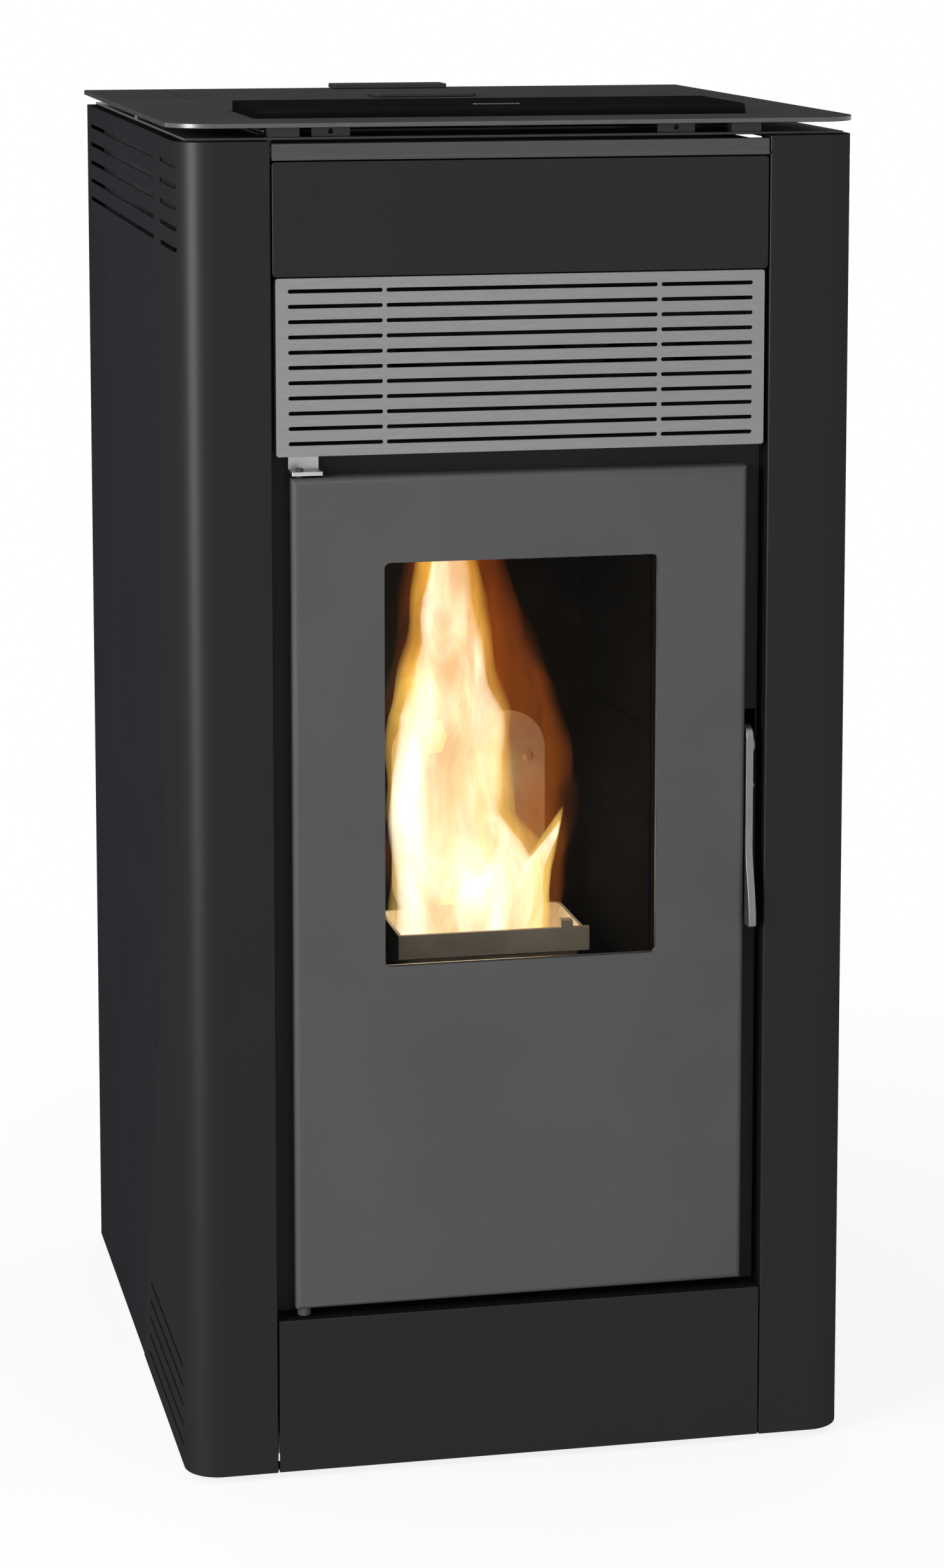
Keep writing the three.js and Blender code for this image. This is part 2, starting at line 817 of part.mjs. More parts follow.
// Burn pot: tapering walls, a perforated floor, and the bar along its front edge.
function burnPot() {
  const half = potWidth / 2;
  const floorHalf = half - potTaper - 4;
  const low = [-floorHalf, floorHalf, potFront + potTaper, potBack - potTaper];
  const outer = funnel(low, potBottom, [-half, half, potFront, potBack], potTop);
  const inner = funnel(
    [low[0] + potWall, low[1] - potWall, low[2] + potWall, low[3] - potWall],
    potBottom + potWall,
    [-half + potWall, half - potWall, potFront + potWall, potBack - potWall],
    potTop + 0.01,
  );
  const barFront = potFront - potWall;
  const barTop = potTop + 3;
  const bar = block(-potBarWidth / 2, potBarWidth / 2, barFront, potFront + 1, barTop - potBarHeight, barTop);
  const tabRight = half - 12;
  const tabLeft = tabRight - potTabWidth;
  const tab = block(tabLeft, tabRight, barFront, potFront + 6, potTop - 4, barTop + potTabRise);
  const holes = [];
  for (let i = -2; i <= 2; i += 1) {
    for (let k = -1; k <= 1; k += 1) {
      const y = (potFront + potBack) / 2 + k * potHolePitch;
      holes.push(rodZ(i * (potHolePitch + 4), y, potHoleRadius, potBottom - 1, potBottom + potWall + 1, 6));
    }
  }
  const igniterHole = rodY(0, igniterHeight, igniterRadius, potBack - potTaper - 2, potBack + 1, 12);
  return cut(join(cut(outer, inner), bar, tab), holes, igniterHole);
}

// Air box below the pot: walls round the ash opening, with an air hole at the back.
function burnPotCradle() {
  const half = potWidth / 2 - 2;
  const y0 = potFront + 2;
  const y1 = potBack - 2;
  const z0 = hearthHeight + touch;
  const z1 = potBottom - touch;
  const walls = cut(
    block(-half, half, y0, y1, z0, z1),
    block(-half + 10, half - 10, y0 + 6, y1 - 6, z0 - 1, z1 + 1),
  );
  const rim = cut(
    block(-half - 8, half + 8, y0 - 6, y1, z1 - 3, z1),
    block(-half + 10, half - 10, y0 + 6, y1 - 6, z1 - 4, z1 + 1),
  );
  const airHole = rodY(intakeX, intakeZ, intakeRadius - 4, y1 - 7, y1 + 1);
  return cut(join(walls, rim), airHole);
}

// Sheet drawer below the hearth, with a bent pull on its front.
function ashDrawer() {
  const half = mouthHalf - drawerSide;
  const front = fireFront + 2;
  const back = fireBackDepth - 6;
  const bottom = fireBottom + fireWall + touch;
  const top = hearthHeight - fireWall - drawerHeadroom;
  const rearHalf = fireHalf(back) - 2;
  const outerPlan = polygon([-half, front], [half, front], [rearHalf, back], [-rearHalf, back]);
  const innerPlan = polygon(
    [-half + drawerWall, front + drawerWall],
    [half - drawerWall, front + drawerWall],
    [rearHalf - drawerWall, back - drawerWall],
    [-rearHalf + drawerWall, back - drawerWall],
  );
  const box = cut(prismZ(outerPlan, bottom, top), prismZ(innerPlan, bottom + drawerWall, top + 1));
  const pullShape = polygon(
    [front + 0.5, top - 26],
    [front + 0.5, top - 24],
    [front - 6, top - 24],
    [front - 8, top - 26],
    [front - 8, top - 40],
    [front - 6, top - 40],
    [front - 6, top - 26],
  );
  return join(box, prismX(pullShape, -32, 32));
}

const fireplace = assembly();
piece(fireplace, 'firebox', firebox(), hotSteel);
piece(fireplace, 'fire_lining_left', sideLining(-1), lining);
piece(fireplace, 'fire_lining_right', sideLining(1), lining);
piece(fireplace, 'fire_back_plate', fireBackPlate(), hotSteel);
piece(fireplace, 'burn_pot_cradle', burnPotCradle(), castIron);
piece(fireplace, 'burn_pot', burnPot(), castIron);
piece(fireplace, 'ash_drawer', ashDrawer(), plainSteel);

// Glow igniter: a tube through the back wall, with its flange and connector behind it.
function igniter() {
  const tubeEnd = backWallRear + igniterReach;
  const tube = rodY(0, igniterHeight, igniterRadius - 0.5, potBack + 2, tubeEnd, 12);
  const square = (half, y0, y1) =>
    block(-half - 2, half + 2, y0, y1, igniterHeight - half, igniterHeight + half);
  const flange = square(igniterRadius + 5, backWallRear + touch, backWallRear + 3);
  const connector = square(igniterRadius + 1, tubeEnd - 2, tubeEnd + 12);
  return join(tube, flange, connector);
}
piece(fireplace, 'igniter', igniter(), brightSteel);

// Heat exchanger: tubes that run from behind the firebox to the grille, in a sheet casing.
const exchangerBack = 340;
const exchangerTubes = 6;
const exchangerTubeRadius = 16;
const exchangerMargin = 40; // of the row of tubes, both sides together

function heatExchanger() {
  const half = outletHalf + 3;
  const z0 = grilleBottom + 3;
  const z1 = grilleTop - 2;
  const y0 = plateFace + sheet + touch;
  const casing = cut(
    block(-half, half, y0, exchangerBack, z0, z1),
    block(-half + sheet, half - sheet, y0 + sheet, exchangerBack - sheet, z0 + sheet, z1 - sheet),
  );
  const pitch = (2 * half - exchangerMargin) / exchangerTubes;
  const centres = Array.from({ length: exchangerTubes }, (_, i) => (i - (exchangerTubes - 1) / 2) * pitch);
  const middle = (z0 + z1) / 2;
  const tubes = centres.map((x) => rodY(x, middle, exchangerTubeRadius, y0 + 1, exchangerBack - 1, 10));
  const boreRadius = exchangerTubeRadius - sheet;
  const bores = centres.map((x) => rodY(x, middle, boreRadius, y0 - 1, exchangerBack + 1, 10));
  const rails = [-1, 1].map((side) => {
    const x = side * (fireHalf(fireBackDepth) - 20);
    return block(x - 3, x + 3, y0 + 20, fireBackDepth, fireTop + touch, z0 + 1);
  });
  const smokeInlet = block(-half + 30, half - 30, y0 + 20, fireBackDepth, z0 - 1, z0 + sheet + 1);
  return join(cut(join(casing, tubes), bores, smokeInlet), rails);
}
piece(fireplace, 'heat_exchanger', heatExchanger(), plainSteel);

// ---------------------------------------------------------------- pellet feed

// Height of the auger's axis at a depth.
const augerAxisZ = (y) => augerFoot.z + (augerFoot.y - y) * Math.tan(augerRise);

// A solid drawn along z from the foot of the auger, laid along the auger's axis.
function alongAuger(geometry) {
  geometry.rotateX(Math.PI / 2 - augerRise);
  geometry.translate(augerFoot.x, augerFoot.y, augerFoot.z);
  return solidOf(geometry);
}

function augerRod(radius, z0, z1, sides = 16) {
  const geometry = new THREE.CylinderGeometry(radius, radius, z1 - z0, sides);
  geometry.rotateX(Math.PI / 2);
  geometry.translate(0, 0, (z0 + z1) / 2);
  return alongAuger(geometry);
}

function augerPlate(width, height, z0, z1) {
  const geometry = new THREE.BoxGeometry(width, height, z1 - z0);
  geometry.translate(0, 0, (z0 + z1) / 2);
  return alongAuger(geometry);
}

const throatHalf = throatWidth / 2;
const dropHalf = chuteWidth / 2;
const dropWall = 2;

function augerTube() {
  const bore = augerTubeRadius - augerTubeWall;
  const tube = augerRod(augerTubeRadius, 0, augerLength);
  const footPlate = augerPlate(84, 72, 0, augerTubeWall);
  const throat = block(
    -throatHalf - dropWall,
    throatHalf + dropWall,
    throatFront - dropWall,
    throatBack + dropWall,
    augerAxisZ((throatFront + throatBack) / 2),
    throatTop,
  );
  const collar = block(
    -throatHalf - 14,
    throatHalf + 14,
    throatFront - 12,
    throatBack + 12,
    throatTop - dropWall,
    throatTop,
  );
  const drop = block(
    -dropHalf - dropWall,
    dropHalf + dropWall,
    dropFront - dropWall,
    dropBack + dropWall,
    dropBottom,
    augerAxisZ(dropBack),
  );
  const whole = join(tube, footPlate, throat, collar, drop);
  return cut(
    whole,
    augerRod(bore, augerTubeWall, augerLength - augerTubeWall),
    augerRod(screwShaftRadius + running, -1, augerLength + 1),
    block(-throatHalf, throatHalf, throatFront, throatBack, augerAxisZ(throatBack), throatTop + 1),
    block(-dropHalf, dropHalf, dropFront, dropBack, dropBottom - 1, augerAxisZ(dropBack)),
  );
}

const feed = assembly();
piece(feed, 'auger_tube', augerTube(), plainSteel);

// Screw and gearmotor in the auger's own frame: z runs up along its axis.
const auger = assembly(augerFoot.x, augerFoot.y, augerFoot.z, feed);
auger.rotation.x = Math.PI / 2 - augerRise;

function augerScrew() {
  const shaft = rodZ(0, 0, screwShaftRadius, 0.7, augerLength - 0.5, 10);
  const start = augerTubeWall + 4 + screwThickness;
  const turns = (augerLength - 2 * start) / screwPitch;
  const root = screwShaftRadius - 1.5;
  return join(shaft, flight(root, screwRadius, screwPitch, screwThickness, start, turns, 10));
}
piece(auger, 'auger_screw', augerScrew(), plainSteel);

const gearboxWidth = 68;
const gearboxDepth = 28;
const feedMotorRadius = 28;
const feedMotorLength = 26;

function augerGearmotor() {
  const half = gearboxWidth / 2;
  const gearbox = prismZ(roundedRectangle(-half, half, 4 - half, half - 4, 8), -gearboxDepth, -touch);
  const motorEnd = -gearboxDepth - feedMotorLength;
  const motor = rodZ(0, 0, feedMotorRadius, motorEnd, 1 - gearboxDepth, 16);
  const cap = rodZ(0, 0, feedMotorRadius - 18, motorEnd - 4, motorEnd + 1);
  const coolingSlots = [-2, -1, 0, 1, 2].map((i) => {
    const x = i * 8;
    const y = -feedMotorRadius;
    return block(x - 1.5, x + 1.5, y - 2, y + 4, motorEnd + 4, -gearboxDepth - 4);
  });
  return cut(join(gearbox, motor, cap), coolingSlots);
}
piece(auger, 'auger_gearmotor', augerGearmotor(), castIron);

// Slanting duct from the end of the auger to the opening in the back wall.
function pelletChute() {
  const mouth = backWallRear + touch;
  const top = dropBottom - touch;
  const wall = dropWall;
  const lowKnee = dropBottom - 60;
  const highKnee = dropBottom - 30;
  const outer = polygon(
    [mouth, chuteMouthBottom - wall],
    [dropBack + wall, lowKnee],
    [dropBack + wall, top],
    [dropFront - wall, top],
    [dropFront - wall, highKnee],
    [mouth, chuteMouthTop + wall],
  );
  const inner = polygon(
    [mouth - 1, chuteMouthBottom + 1],
    [mouth, chuteMouthBottom + 1],
    [dropBack, lowKnee + wall],
    [dropBack, top + 1],
    [dropFront, top + 1],
    [dropFront, highKnee - wall],
    [mouth, chuteMouthTop - 1],
    [mouth - 1, chuteMouthTop - 1],
  );
  const flangeSheet = block(
    -dropHalf - 8,
    dropHalf + 8,
    mouth,
    mouth + wall,
    chuteMouthBottom - 14,
    chuteMouthTop + 14,
  );
  return cut(
    join(prismX(outer, -dropHalf - wall, dropHalf + wall), flangeSheet),
    prismX(inner, -dropHalf + touch, dropHalf - touch),
  );
}
piece(feed, 'pellet_chute', pelletChute(), plainSteel);

// Hopper: an upright box on a steep funnel, whose short neck stands on the auger's throat.
const frameBottom = cabinetTop + touch;
const frameTop = frameBottom + sheet;
const hopperHalf = hopperWidth / 2;
const hopperSection = (inset) => {
  const half = hopperHalf - inset;
  return [-half, half, hopperFront + inset, hopperBack - inset];
};

function hopper() {
  const low = funnelTop + touch;
  const flangeAt = (z) => block(...hopperSection(-hopperFlange), z, z + hopperWall);
  const outside = block(...hopperSection(0), low, hopperRim);
  const inside = block(...hopperSection(hopperWall), low - 1, hopperRim + 1);
  return cut(join(outside, flangeAt(low), flangeAt(frameTop + touch)), inside);
}
piece(feed, 'hopper', hopper(), plainSteel);

function hopperFunnel() {
  const neckBottom = throatTop + touch;
  const neck = (inset) => [
    inset - throatHalf - hopperWall,
    throatHalf + hopperWall - inset,
    throatFront - hopperWall + inset,
    throatBack + hopperWall - inset,
  ];
  const shellAt = (inset, over) =>
    join(
      funnel(neck(inset), funnelBottom, hopperSection(inset), funnelTop),
      block(...hopperSection(inset), funnelTop - 0.01, funnelTop + over),
      block(...neck(inset), neckBottom - over, funnelBottom + 0.01),
    );
  const flange = block(...hopperSection(-hopperFlange), funnelTop - hopperWall, funnelTop);
  const foot = block(
    -throatHalf - 14,
    throatHalf + 14,
    throatFront - 12,
    throatBack + 12,
    neckBottom,
    neckBottom + hopperWall,
  );
  return cut(join(shellAt(0, 0), flange, foot), shellAt(hopperWall, 1));
}
piece(feed, 'hopper_funnel', hopperFunnel(), plainSteel);

// ---------------------------------------------------------------- flue

const ductFront = backWallRear + touch;
const ductBack = ductFront + ductDepth;
const flueFanFront = ductBack + touch;
const flueFanBack = flueFanFront + flueFanDepth;
const flueInletRadius = 30;

function smokeDuct() {
  const left = ductLeft;
  const right = ductRight;
  const bottom = fireBottom + 10;
  const top = fireTop - 14;
  const casing = cut(
    block(left, right, ductFront, ductBack, bottom, top),
    block(left + sheet, right - sheet, ductFront + sheet, ductBack - sheet, bottom + sheet, top - sheet),
  );
  const mouthRear = ductFront + sheet + 1;
  const mouth = block(left + 6, right - 3, ductFront - 1, mouthRear, ductMouthBottom, ductMouthTop);
  const outlet = rodY(flueFanX, flueFanZ, flueInletRadius - 1, ductBack - sheet - 1, ductBack + 1);
  return cut(casing, mouth, outlet);
}

const flue = assembly();
piece(flue, 'smoke_duct', smokeDuct(), plainSteel);

// Scroll of the flue fan, with its outlet at the lower left and a flange there.
const scrollOutletTop = flueFanZ - 10;
const scrollOutletBottom = flueFanZ - flueScrollRadius;
const scrollOutletX = flueFanX - flueScrollRadius - 14;

function flueFanHousing() {
  const wall = 3;
  const body = join(
    rodY(flueFanX, flueFanZ, flueScrollRadius, flueFanFront, flueFanBack, 16),
    block(scrollOutletX, flueFanX, flueFanFront, flueFanBack, scrollOutletBottom, scrollOutletTop),
    block(
      scrollOutletX,
      scrollOutletX + wall,
      flueFanFront,
      flueFanBack + 8,
      scrollOutletBottom - 8,
      scrollOutletTop + 8,
    ),
  );
  return cut(
    body,
    rodY(flueFanX, flueFanZ, flueScrollRadius - wall, flueFanFront + wall, flueFanBack - wall, 16),
    block(
      scrollOutletX - 1,
      flueFanX,
      flueFanFront + wall,
      flueFanBack - wall,
      scrollOutletBottom + wall,
      scrollOutletTop - wall,
    ),
    rodY(flueFanX, flueFanZ, flueInletRadius, flueFanFront - 1, flueFanFront + wall + 1),
    rodY(flueFanX, flueFanZ, 6 + running, flueFanBack - wall - 1, flueFanBack + 1, 12),
  );
}
piece(flue, 'flue_fan_housing', flueFanHousing(), castIron);

// Fans turn about their group's z axis, which points to the motor.
const flueFan = assembly(flueFanX, flueFanFront, flueFanZ, flue);
flueFan.rotation.x = -Math.PI / 2;

function flueFanImpeller() {
  const hub = rodZ(0, 0, 12, 12, 40, 16);
  const shaft = rodZ(0, 0, 6, 39, flueFanDepth + 0.01, 12);
  const disc = rodZ(0, 0, flueImpellerRadius, 36, 38, 16);
  const blades = Array.from({ length: 8 }, (_, i) => {
    const blade = new THREE.BoxGeometry(flueImpellerRadius - 12, 2, 16);
    blade.translate((flueImpellerRadius + 10) / 2, 0, 25);
    blade.rotateZ((i * Math.PI) / 4);
    return solidOf(blade);
  });
  return join(hub, shaft, disc, blades);
}
piece(flueFan, 'flue_fan_impeller', flueFanImpeller(), plainSteel);

function flueFanMotor() {
  const z0 = flueFanDepth + touch;
  const flange = rodZ(0, 0, 46, z0, z0 + 3, 16);
  const can = rodZ(0, 0, 34, z0 + 2, z0 + 48, 16);
  const cap = rodZ(0, 0, 14, z0 + 47, z0 + 54, 16);
  const vents = Array.from({ length: 4 }, (_, i) => {
    const vent = new THREE.BoxGeometry(6, 5, 26);
    vent.translate(34, 0, z0 + 26);
    vent.rotateZ((i * Math.PI) / 2 + Math.PI / 4);
    return solidOf(vent);
  });
  return cut(join(flange, can, cap), vents);
}
piece(flueFan, 'flue_fan_motor', flueFanMotor(), castIron);

// Outlet chamber beside the scroll, with the flue spigot through the back panel.
function flueOutlet() {
  const wall = 3;
  const right = scrollOutletX - touch;
  const left = flueCentreX - fluePipeRadius - 4;
  const bottom = flueCentreZ - fluePipeRadius - 4;
  const top = flueCentreZ + fluePipeRadius + 4;
  const chamber = block(left, right, flueFanFront, flueFanBack, bottom, top);
  const hollow = block(
    left + wall,
    right + 1,
    flueFanFront + wall,
    flueFanBack - wall,
    bottom + wall,
    top - wall,
  );
  const round = (radius, y0, y1) => rodY(flueCentreX, flueCentreZ, radius, y0, y1, 20);
  const spigot = round(fluePipeRadius, flueFanBack - 1, flueReach);
  const bore = round(fluePipeRadius - fluePipeWall, flueFanBack - wall - 1, flueReach + 1);
  const bead = round(fluePipeRadius + 2, flueReach - 22, flueReach - 18);
  return cut(join(chamber, spigot, bead), hollow, bore);
}
piece(flue, 'flue_outlet', flueOutlet(), plainSteel);

// Combustion air pipe from the back panel to the air box below the pot.
function airIntake() {
  const front = backWallRear + touch;
  const pipe = rodY(intakeX, intakeZ, intakeRadius, front, intakeReach);
  const flange = rodY(intakeX, intakeZ, intakeRadius + intakeFlange, front, front + sheet);
  const bore = rodY(intakeX, intakeZ, intakeRadius - intakeWall, front - 1, intakeReach + 1);
  return cut(join(pipe, flange), bore);
}
piece(flue, 'air_intake_pipe', airIntake(), plainSteel);

// ---------------------------------------------------------------- room air fan

const roomFan = assembly(roomFanLeft, roomFanDepthCentre, roomFanHeightCentre);
roomFan.rotation.y = Math.PI / 2;
const roomScrollWall = 2;

// In the fan's own frame z runs along the shaft, x points down and y to the back.
function roomFanHousing() {
  const wall = roomScrollWall;
  const r = roomScrollRadius;
  const outletReach = r + 26;
  const outer = join(
    rodZ(0, 0, r, 0, roomFanWidth, 16),
    block(-outletReach, 0, 10, r, 0, roomFanWidth),
    block(-outletReach, -outletReach + wall, 2, r + 8, 0, roomFanWidth),
  );
  return cut(
    outer,
    rodZ(0, 0, r - wall, wall, roomFanWidth - wall, 16),
    block(-outletReach - 1, 0, 10 + wall, r - wall, wall, roomFanWidth - wall),
    rodZ(0, 0, roomImpellerRadius - 14, roomFanWidth - wall - 1, roomFanWidth + 1, 16),
    rodZ(0, 0, 6 + running, -1, wall + 1, 12),
  );
}
piece(roomFan, 'room_fan_housing', roomFanHousing(), plainSteel);

// Squirrel-cage wheel: a back disc, a front ring and a cage of blades.
function roomFanImpeller() {
  const r = roomImpellerRadius;
  const z0 = 8;
  const z1 = roomFanWidth - 8;
  const disc = rodZ(0, 0, r, z0, z0 + 2, 16);
  const ring = cut(rodZ(0, 0, r, z1 - 2, z1, 16), rodZ(0, 0, r - 9, z1 - 3, z1 + 1, 16));
  const hub = rodZ(0, 0, 12, 4, z0 + 18, 16);
  const shaft = rodZ(0, 0, 6, 0, 5, 12);
  const blades = Array.from({ length: 14 }, (_, i) => {
    const blade = new THREE.BoxGeometry(8, 1.6, z1 - z0 - 2);
    blade.rotateZ(0.6);
    blade.translate(r - 5, 0, (z0 + z1) / 2);
    blade.rotateZ((i * Math.PI) / 7);
    return solidOf(blade);
  });
  return join(disc, ring, hub, shaft, blades);
}
piece(roomFan, 'room_fan_impeller', roomFanImpeller(), plainSteel);

function roomFanMotor() {
  const flange = rodZ(0, 0, 24, -3, -touch, 16);
  const can = rodZ(0, 0, 22, -34, -2, 16);
  return join(flange, can);
}
piece(roomFan, 'room_fan_motor', roomFanMotor(), castIron);

// ---------------------------------------------------------------- back panel and electrics

const inletX = -205;
const inletZ = 120;
const inletHalf = 16;
const inletHeight = 60;
const backFace = cabinetDepth;
const backPanelHalf = halfWidth - 6;
const rockerZ = inletZ + 18;
const rockerHalf = 9.5;
const rockerPivotY = backFace - 2;
const louvreRows = 6;
const louvreLeft = 90;
const louvreBottom = 280;
const louvreLength = 56;
const louvreBridge = 14;
const louvrePitch = 20;
const louvreHeight = 6;

function backPanel() {
  const front = cabinetDepth - sheet;
  const whole = block(-backPanelHalf, backPanelHalf, front, backFace, groundGap + 2, cabinetTop - 1);
  const hole = (x, z, radius) => rodY(x, z, radius, front - 1, backFace + 1, 20);
  const louvres = [];
  for (let row = 0; row < louvreRows; row += 1) {
    for (const x of [louvreLeft, louvreLeft + louvreLength + louvreBridge]) {
      const z = louvreBottom + row * louvrePitch;
      louvres.push(prismY(slot(x, x + louvreLength, z, louvreHeight), front - 1, backFace + 1));
    }
  }
  return cut(
    whole,
    hole(flueCentreX, flueCentreZ, fluePipeRadius + 3),
    hole(intakeX, intakeZ, intakeRadius + 3),
    block(
      inletX - inletHalf + 2,
      inletX + inletHalf - 2,
      front - 1,
      backFace + 1,
      inletZ - inletHeight / 2 + 2,
      inletZ + inletHeight / 2 - 2,
    ),
    louvres,
  );
}
const rear = assembly();
piece(rear, 'back_panel', backPanel(), plainSteel);

// Mains inlet: a flanged module with a three-pin recess below and the seat of the rocker above.
function powerInlet() {
  const top = inletZ + inletHeight / 2;
  const bottom = inletZ - inletHeight / 2;
  const flange = prismY(
    roundedRectangle(inletX - inletHalf, inletX + inletHalf, bottom, top, 3),
    backFace + touch,
    backFace + 3,
  );
  const body = block(
    inletX - inletHalf + 2.5,
    inletX + inletHalf - 2.5,
    backFace - 28,
    backFace + 1,
    bottom + 2.5,
    top - 2.5,
  );
  const socket = prismY(
    roundedRectangle(inletX - 12, inletX + 12, bottom + 6, bottom + 23, 2, 4),
    backFace - 16,
    backFace + 4,
  );
  const pins = [[-7, 13], [0, 17], [7, 13]].map(([x, z]) =>
    block(inletX + x - 1, inletX + x + 1, backFace - 17, backFace - 2, bottom + z - 2, bottom + z + 2),
  );
  const rockerSeat = block(
    inletX - rockerHalf - 1,
    inletX + rockerHalf + 1,
    backFace - 14,
    backFace + 4,
    rockerZ - 9,
    rockerZ + 9,
  );
  return join(cut(join(flange, body), socket, rockerSeat), pins);
}
piece(rear, 'power_inlet', powerInlet(), plastic);

// Rocker: a wedge that tips about its middle.
function mainsSwitch() {
  const profile = polygon([-6, -3], [-6, 3], [0, 8], [3.5, 8], [5, 1], [7, -5.2], [5.5, -6.8], [0, -8]);
  return prismX(profile, -rockerHalf, rockerHalf);
}
piece(assembly(inletX, rockerPivotY, rockerZ, rear), 'mains_switch', mainsSwitch(), greyPlastic);

// Sheet box of the control board, on the left side panel.
const boardBoxWidth = 42;
const boardBoxFront = 330;
const boardBoxDepth = 170;
const boardBoxBottom = 120;
const boardBoxHeight = 180;
const boardVents = 7;
const ventHeight = 5;
const railReach = 12; // of the fixing rail above the box

function controlBoardBox() {
  const left = -innerSide + panelInset + touch;
  const right = left + boardBoxWidth;
  const back = boardBoxFront + boardBoxDepth;
  const low = boardBoxBottom;
  const high = low + boardBoxHeight;
  const box = cut(
    block(left, right, boardBoxFront, back, low, high),
    block(left + sheet, right - sheet, boardBoxFront + sheet, back - sheet, low + sheet, high - sheet),
  );
  const ventPitch = (boardBoxHeight - 26) / boardVents;
  const vents = Array.from({ length: boardVents }, (_, i) => {
    const z = low + 20 + i * ventPitch;
    return prismX(slot(boardBoxFront + 15, back - 15, z, ventHeight), right - sheet - 1, right + 1);
  });
  const rail = block(left, left + sheet, boardBoxFront + 1, back - 1, high - 10, high + railReach);
  return cut(join(box, rail), vents);
}
piece(rear, 'control_board_box', controlBoardBox(), plainSteel);

// ---------------------------------------------------------------- top

const plateLow = cabinetTop + topPlateRise;
const plateHigh = plateLow + topPlateThickness;
const topHalf = topPlateWidth / 2;
const lidHalf = lidWidth / 2;
const coverHalf = coverWidth / 2;
const coverTop = plateHigh + coverRise;
const coverLow = coverTop - coverHeight;
const top = assembly();

function topPlate() {
  const outline = roundedRectangle(-topHalf, topHalf, topPlateFront, topPlateBack, topPlateCorner, 4);
  const lidHole = block(
    -lidHalf - lidGap,
    lidHalf + lidGap,
    lidFront - lidGap,
    lidBack + lidGap,
    plateLow - 1,
    plateHigh + 1,
  );
  const coverHole = block(
    -coverHalf - 2,
    coverHalf + 2,
    coverFront - 2,
    coverBack + 2,
    plateLow - 1,
    plateHigh + 1,
  );
  return cut(prismZ(outline, plateLow, plateHigh), lidHole, coverHole);
}
piece(top, 'top_plate', topPlate(), sidePaint);

// Sheet frame on the cabinet, with the blocks that carry the top plate and two small upright tabs.
const spacerWidth = 24;
const spacerDepth = 14;
const frontSpacerX = halfOpening - 14;
const tabWidth = 30;
const tabFront = trimDepth + 10;
const tabHoleRadius = 2;
const leftTabStep = 37; // from a front spacer to the tab beside it
const rightTabStep = 56;
const panelHalf = coverHalf - 12;
const panelOpening = [-panelHalf, panelHalf, coverFront + 16, coverBack - 12];
const frameHalf = innerSide - 6;

function topFrame() {
  const z1 = frameTop;
  const z0 = frameBottom;
  const whole = block(-frameHalf, frameHalf, trimDepth + 2, panelEnd - 4, z0, z1);
  const hopperOpening = block(
    -hopperWidth / 2 - joint,
    hopperWidth / 2 + joint,
    hopperFront - joint,
    hopperBack + joint,
    z0 - 1,
    z1 + 1,
  );
  const controlOpening = block(...panelOpening, z0 - 1, z1 + 1);
  const spacer = (x, y) =>
    block(x - spacerWidth / 2, x + spacerWidth / 2, y, y + spacerDepth, z1 - 1, plateLow - touch);
  const spacerPlaces = [
    [frontSpacerX, trimDepth + 6],
    [frameHalf - spacerWidth / 2, cabinetDepth / 2],
    [frameHalf - 38, topPlateBack - spacerDepth - 4],
  ];
  const spacers = spacerPlaces.flatMap(([x, y]) => [spacer(-x, y), spacer(x, y)]);
  const tab = (x) => {
    const half = tabWidth / 2;
    const upright = block(x - half, x + half, tabFront, tabFront + sheet, z1 - 1, plateLow - 1);
    return cut(upright, rodY(x, z1 + 4, tabHoleRadius, tabFront - 1, tabFront + sheet + 1, 10));
  };
  const tabs = [tab(-frontSpacerX + leftTabStep), tab(frontSpacerX - rightTabStep)];
  return join(cut(whole, hopperOpening, controlOpening), spacers, tabs);
}
piece(top, 'top_frame', topFrame(), plainSteel);

// Hopper lid: flush in the plate, with a sealing rib that meets the rim of the hopper.
const lid = assembly(0, lidBack, plateHigh, top);

function hopperLid() {
  const depth = lidBack - lidFront;
  const leaf = prismZ(roundedRectangle(-lidHalf, lidHalf, -depth, 0, 3), -topPlateThickness, 0);
  const half = hopperWidth / 2 + 3;
  const y0 = hopperFront - lidBack - 2;
  const y1 = hopperBack - lidBack + 1;
  const z0 = hopperRim + touch - plateHigh;
  const rib = cut(
    block(-half, half, y0, y1, z0, -topPlateThickness + 1),
    block(-half + 12, half - 12, y0 + 12, y1 - 12, z0 - 1, -topPlateThickness),
  );
  return join(leaf, rib);
}
piece(lid, 'hopper_lid', hopperLid(), sidePaint);

function lidGrip() {
  const front = lidFront - lidBack + gripSetback;
  const slab = roundedRectangle(-gripWidth / 2, gripWidth / 2, front, front + gripDepth, 4);
  return prismZ(slab, touch, touch + gripHeight);
}
piece(lid, 'lid_grip', lidGrip(), sidePaint);

function lidHingeCover() {
  const half = hingeCoverWidth / 2;
  const outline = roundedRectangle(-half, half, lidBack + lidGap, topPlateBack, 2);
  return prismZ(outline, plateHigh + touch, plateHigh + touch + hingeCoverHeight);
}
piece(top, 'lid_hinge_cover', lidHingeCover(), sidePaint);

// Control cover: a hollow glossy slab with a rounded front edge and a finger slot.
const cover = assembly(0, coverBack, coverTop, top);
const slotFront = coverFront - coverBack + fingerSlotSetback;

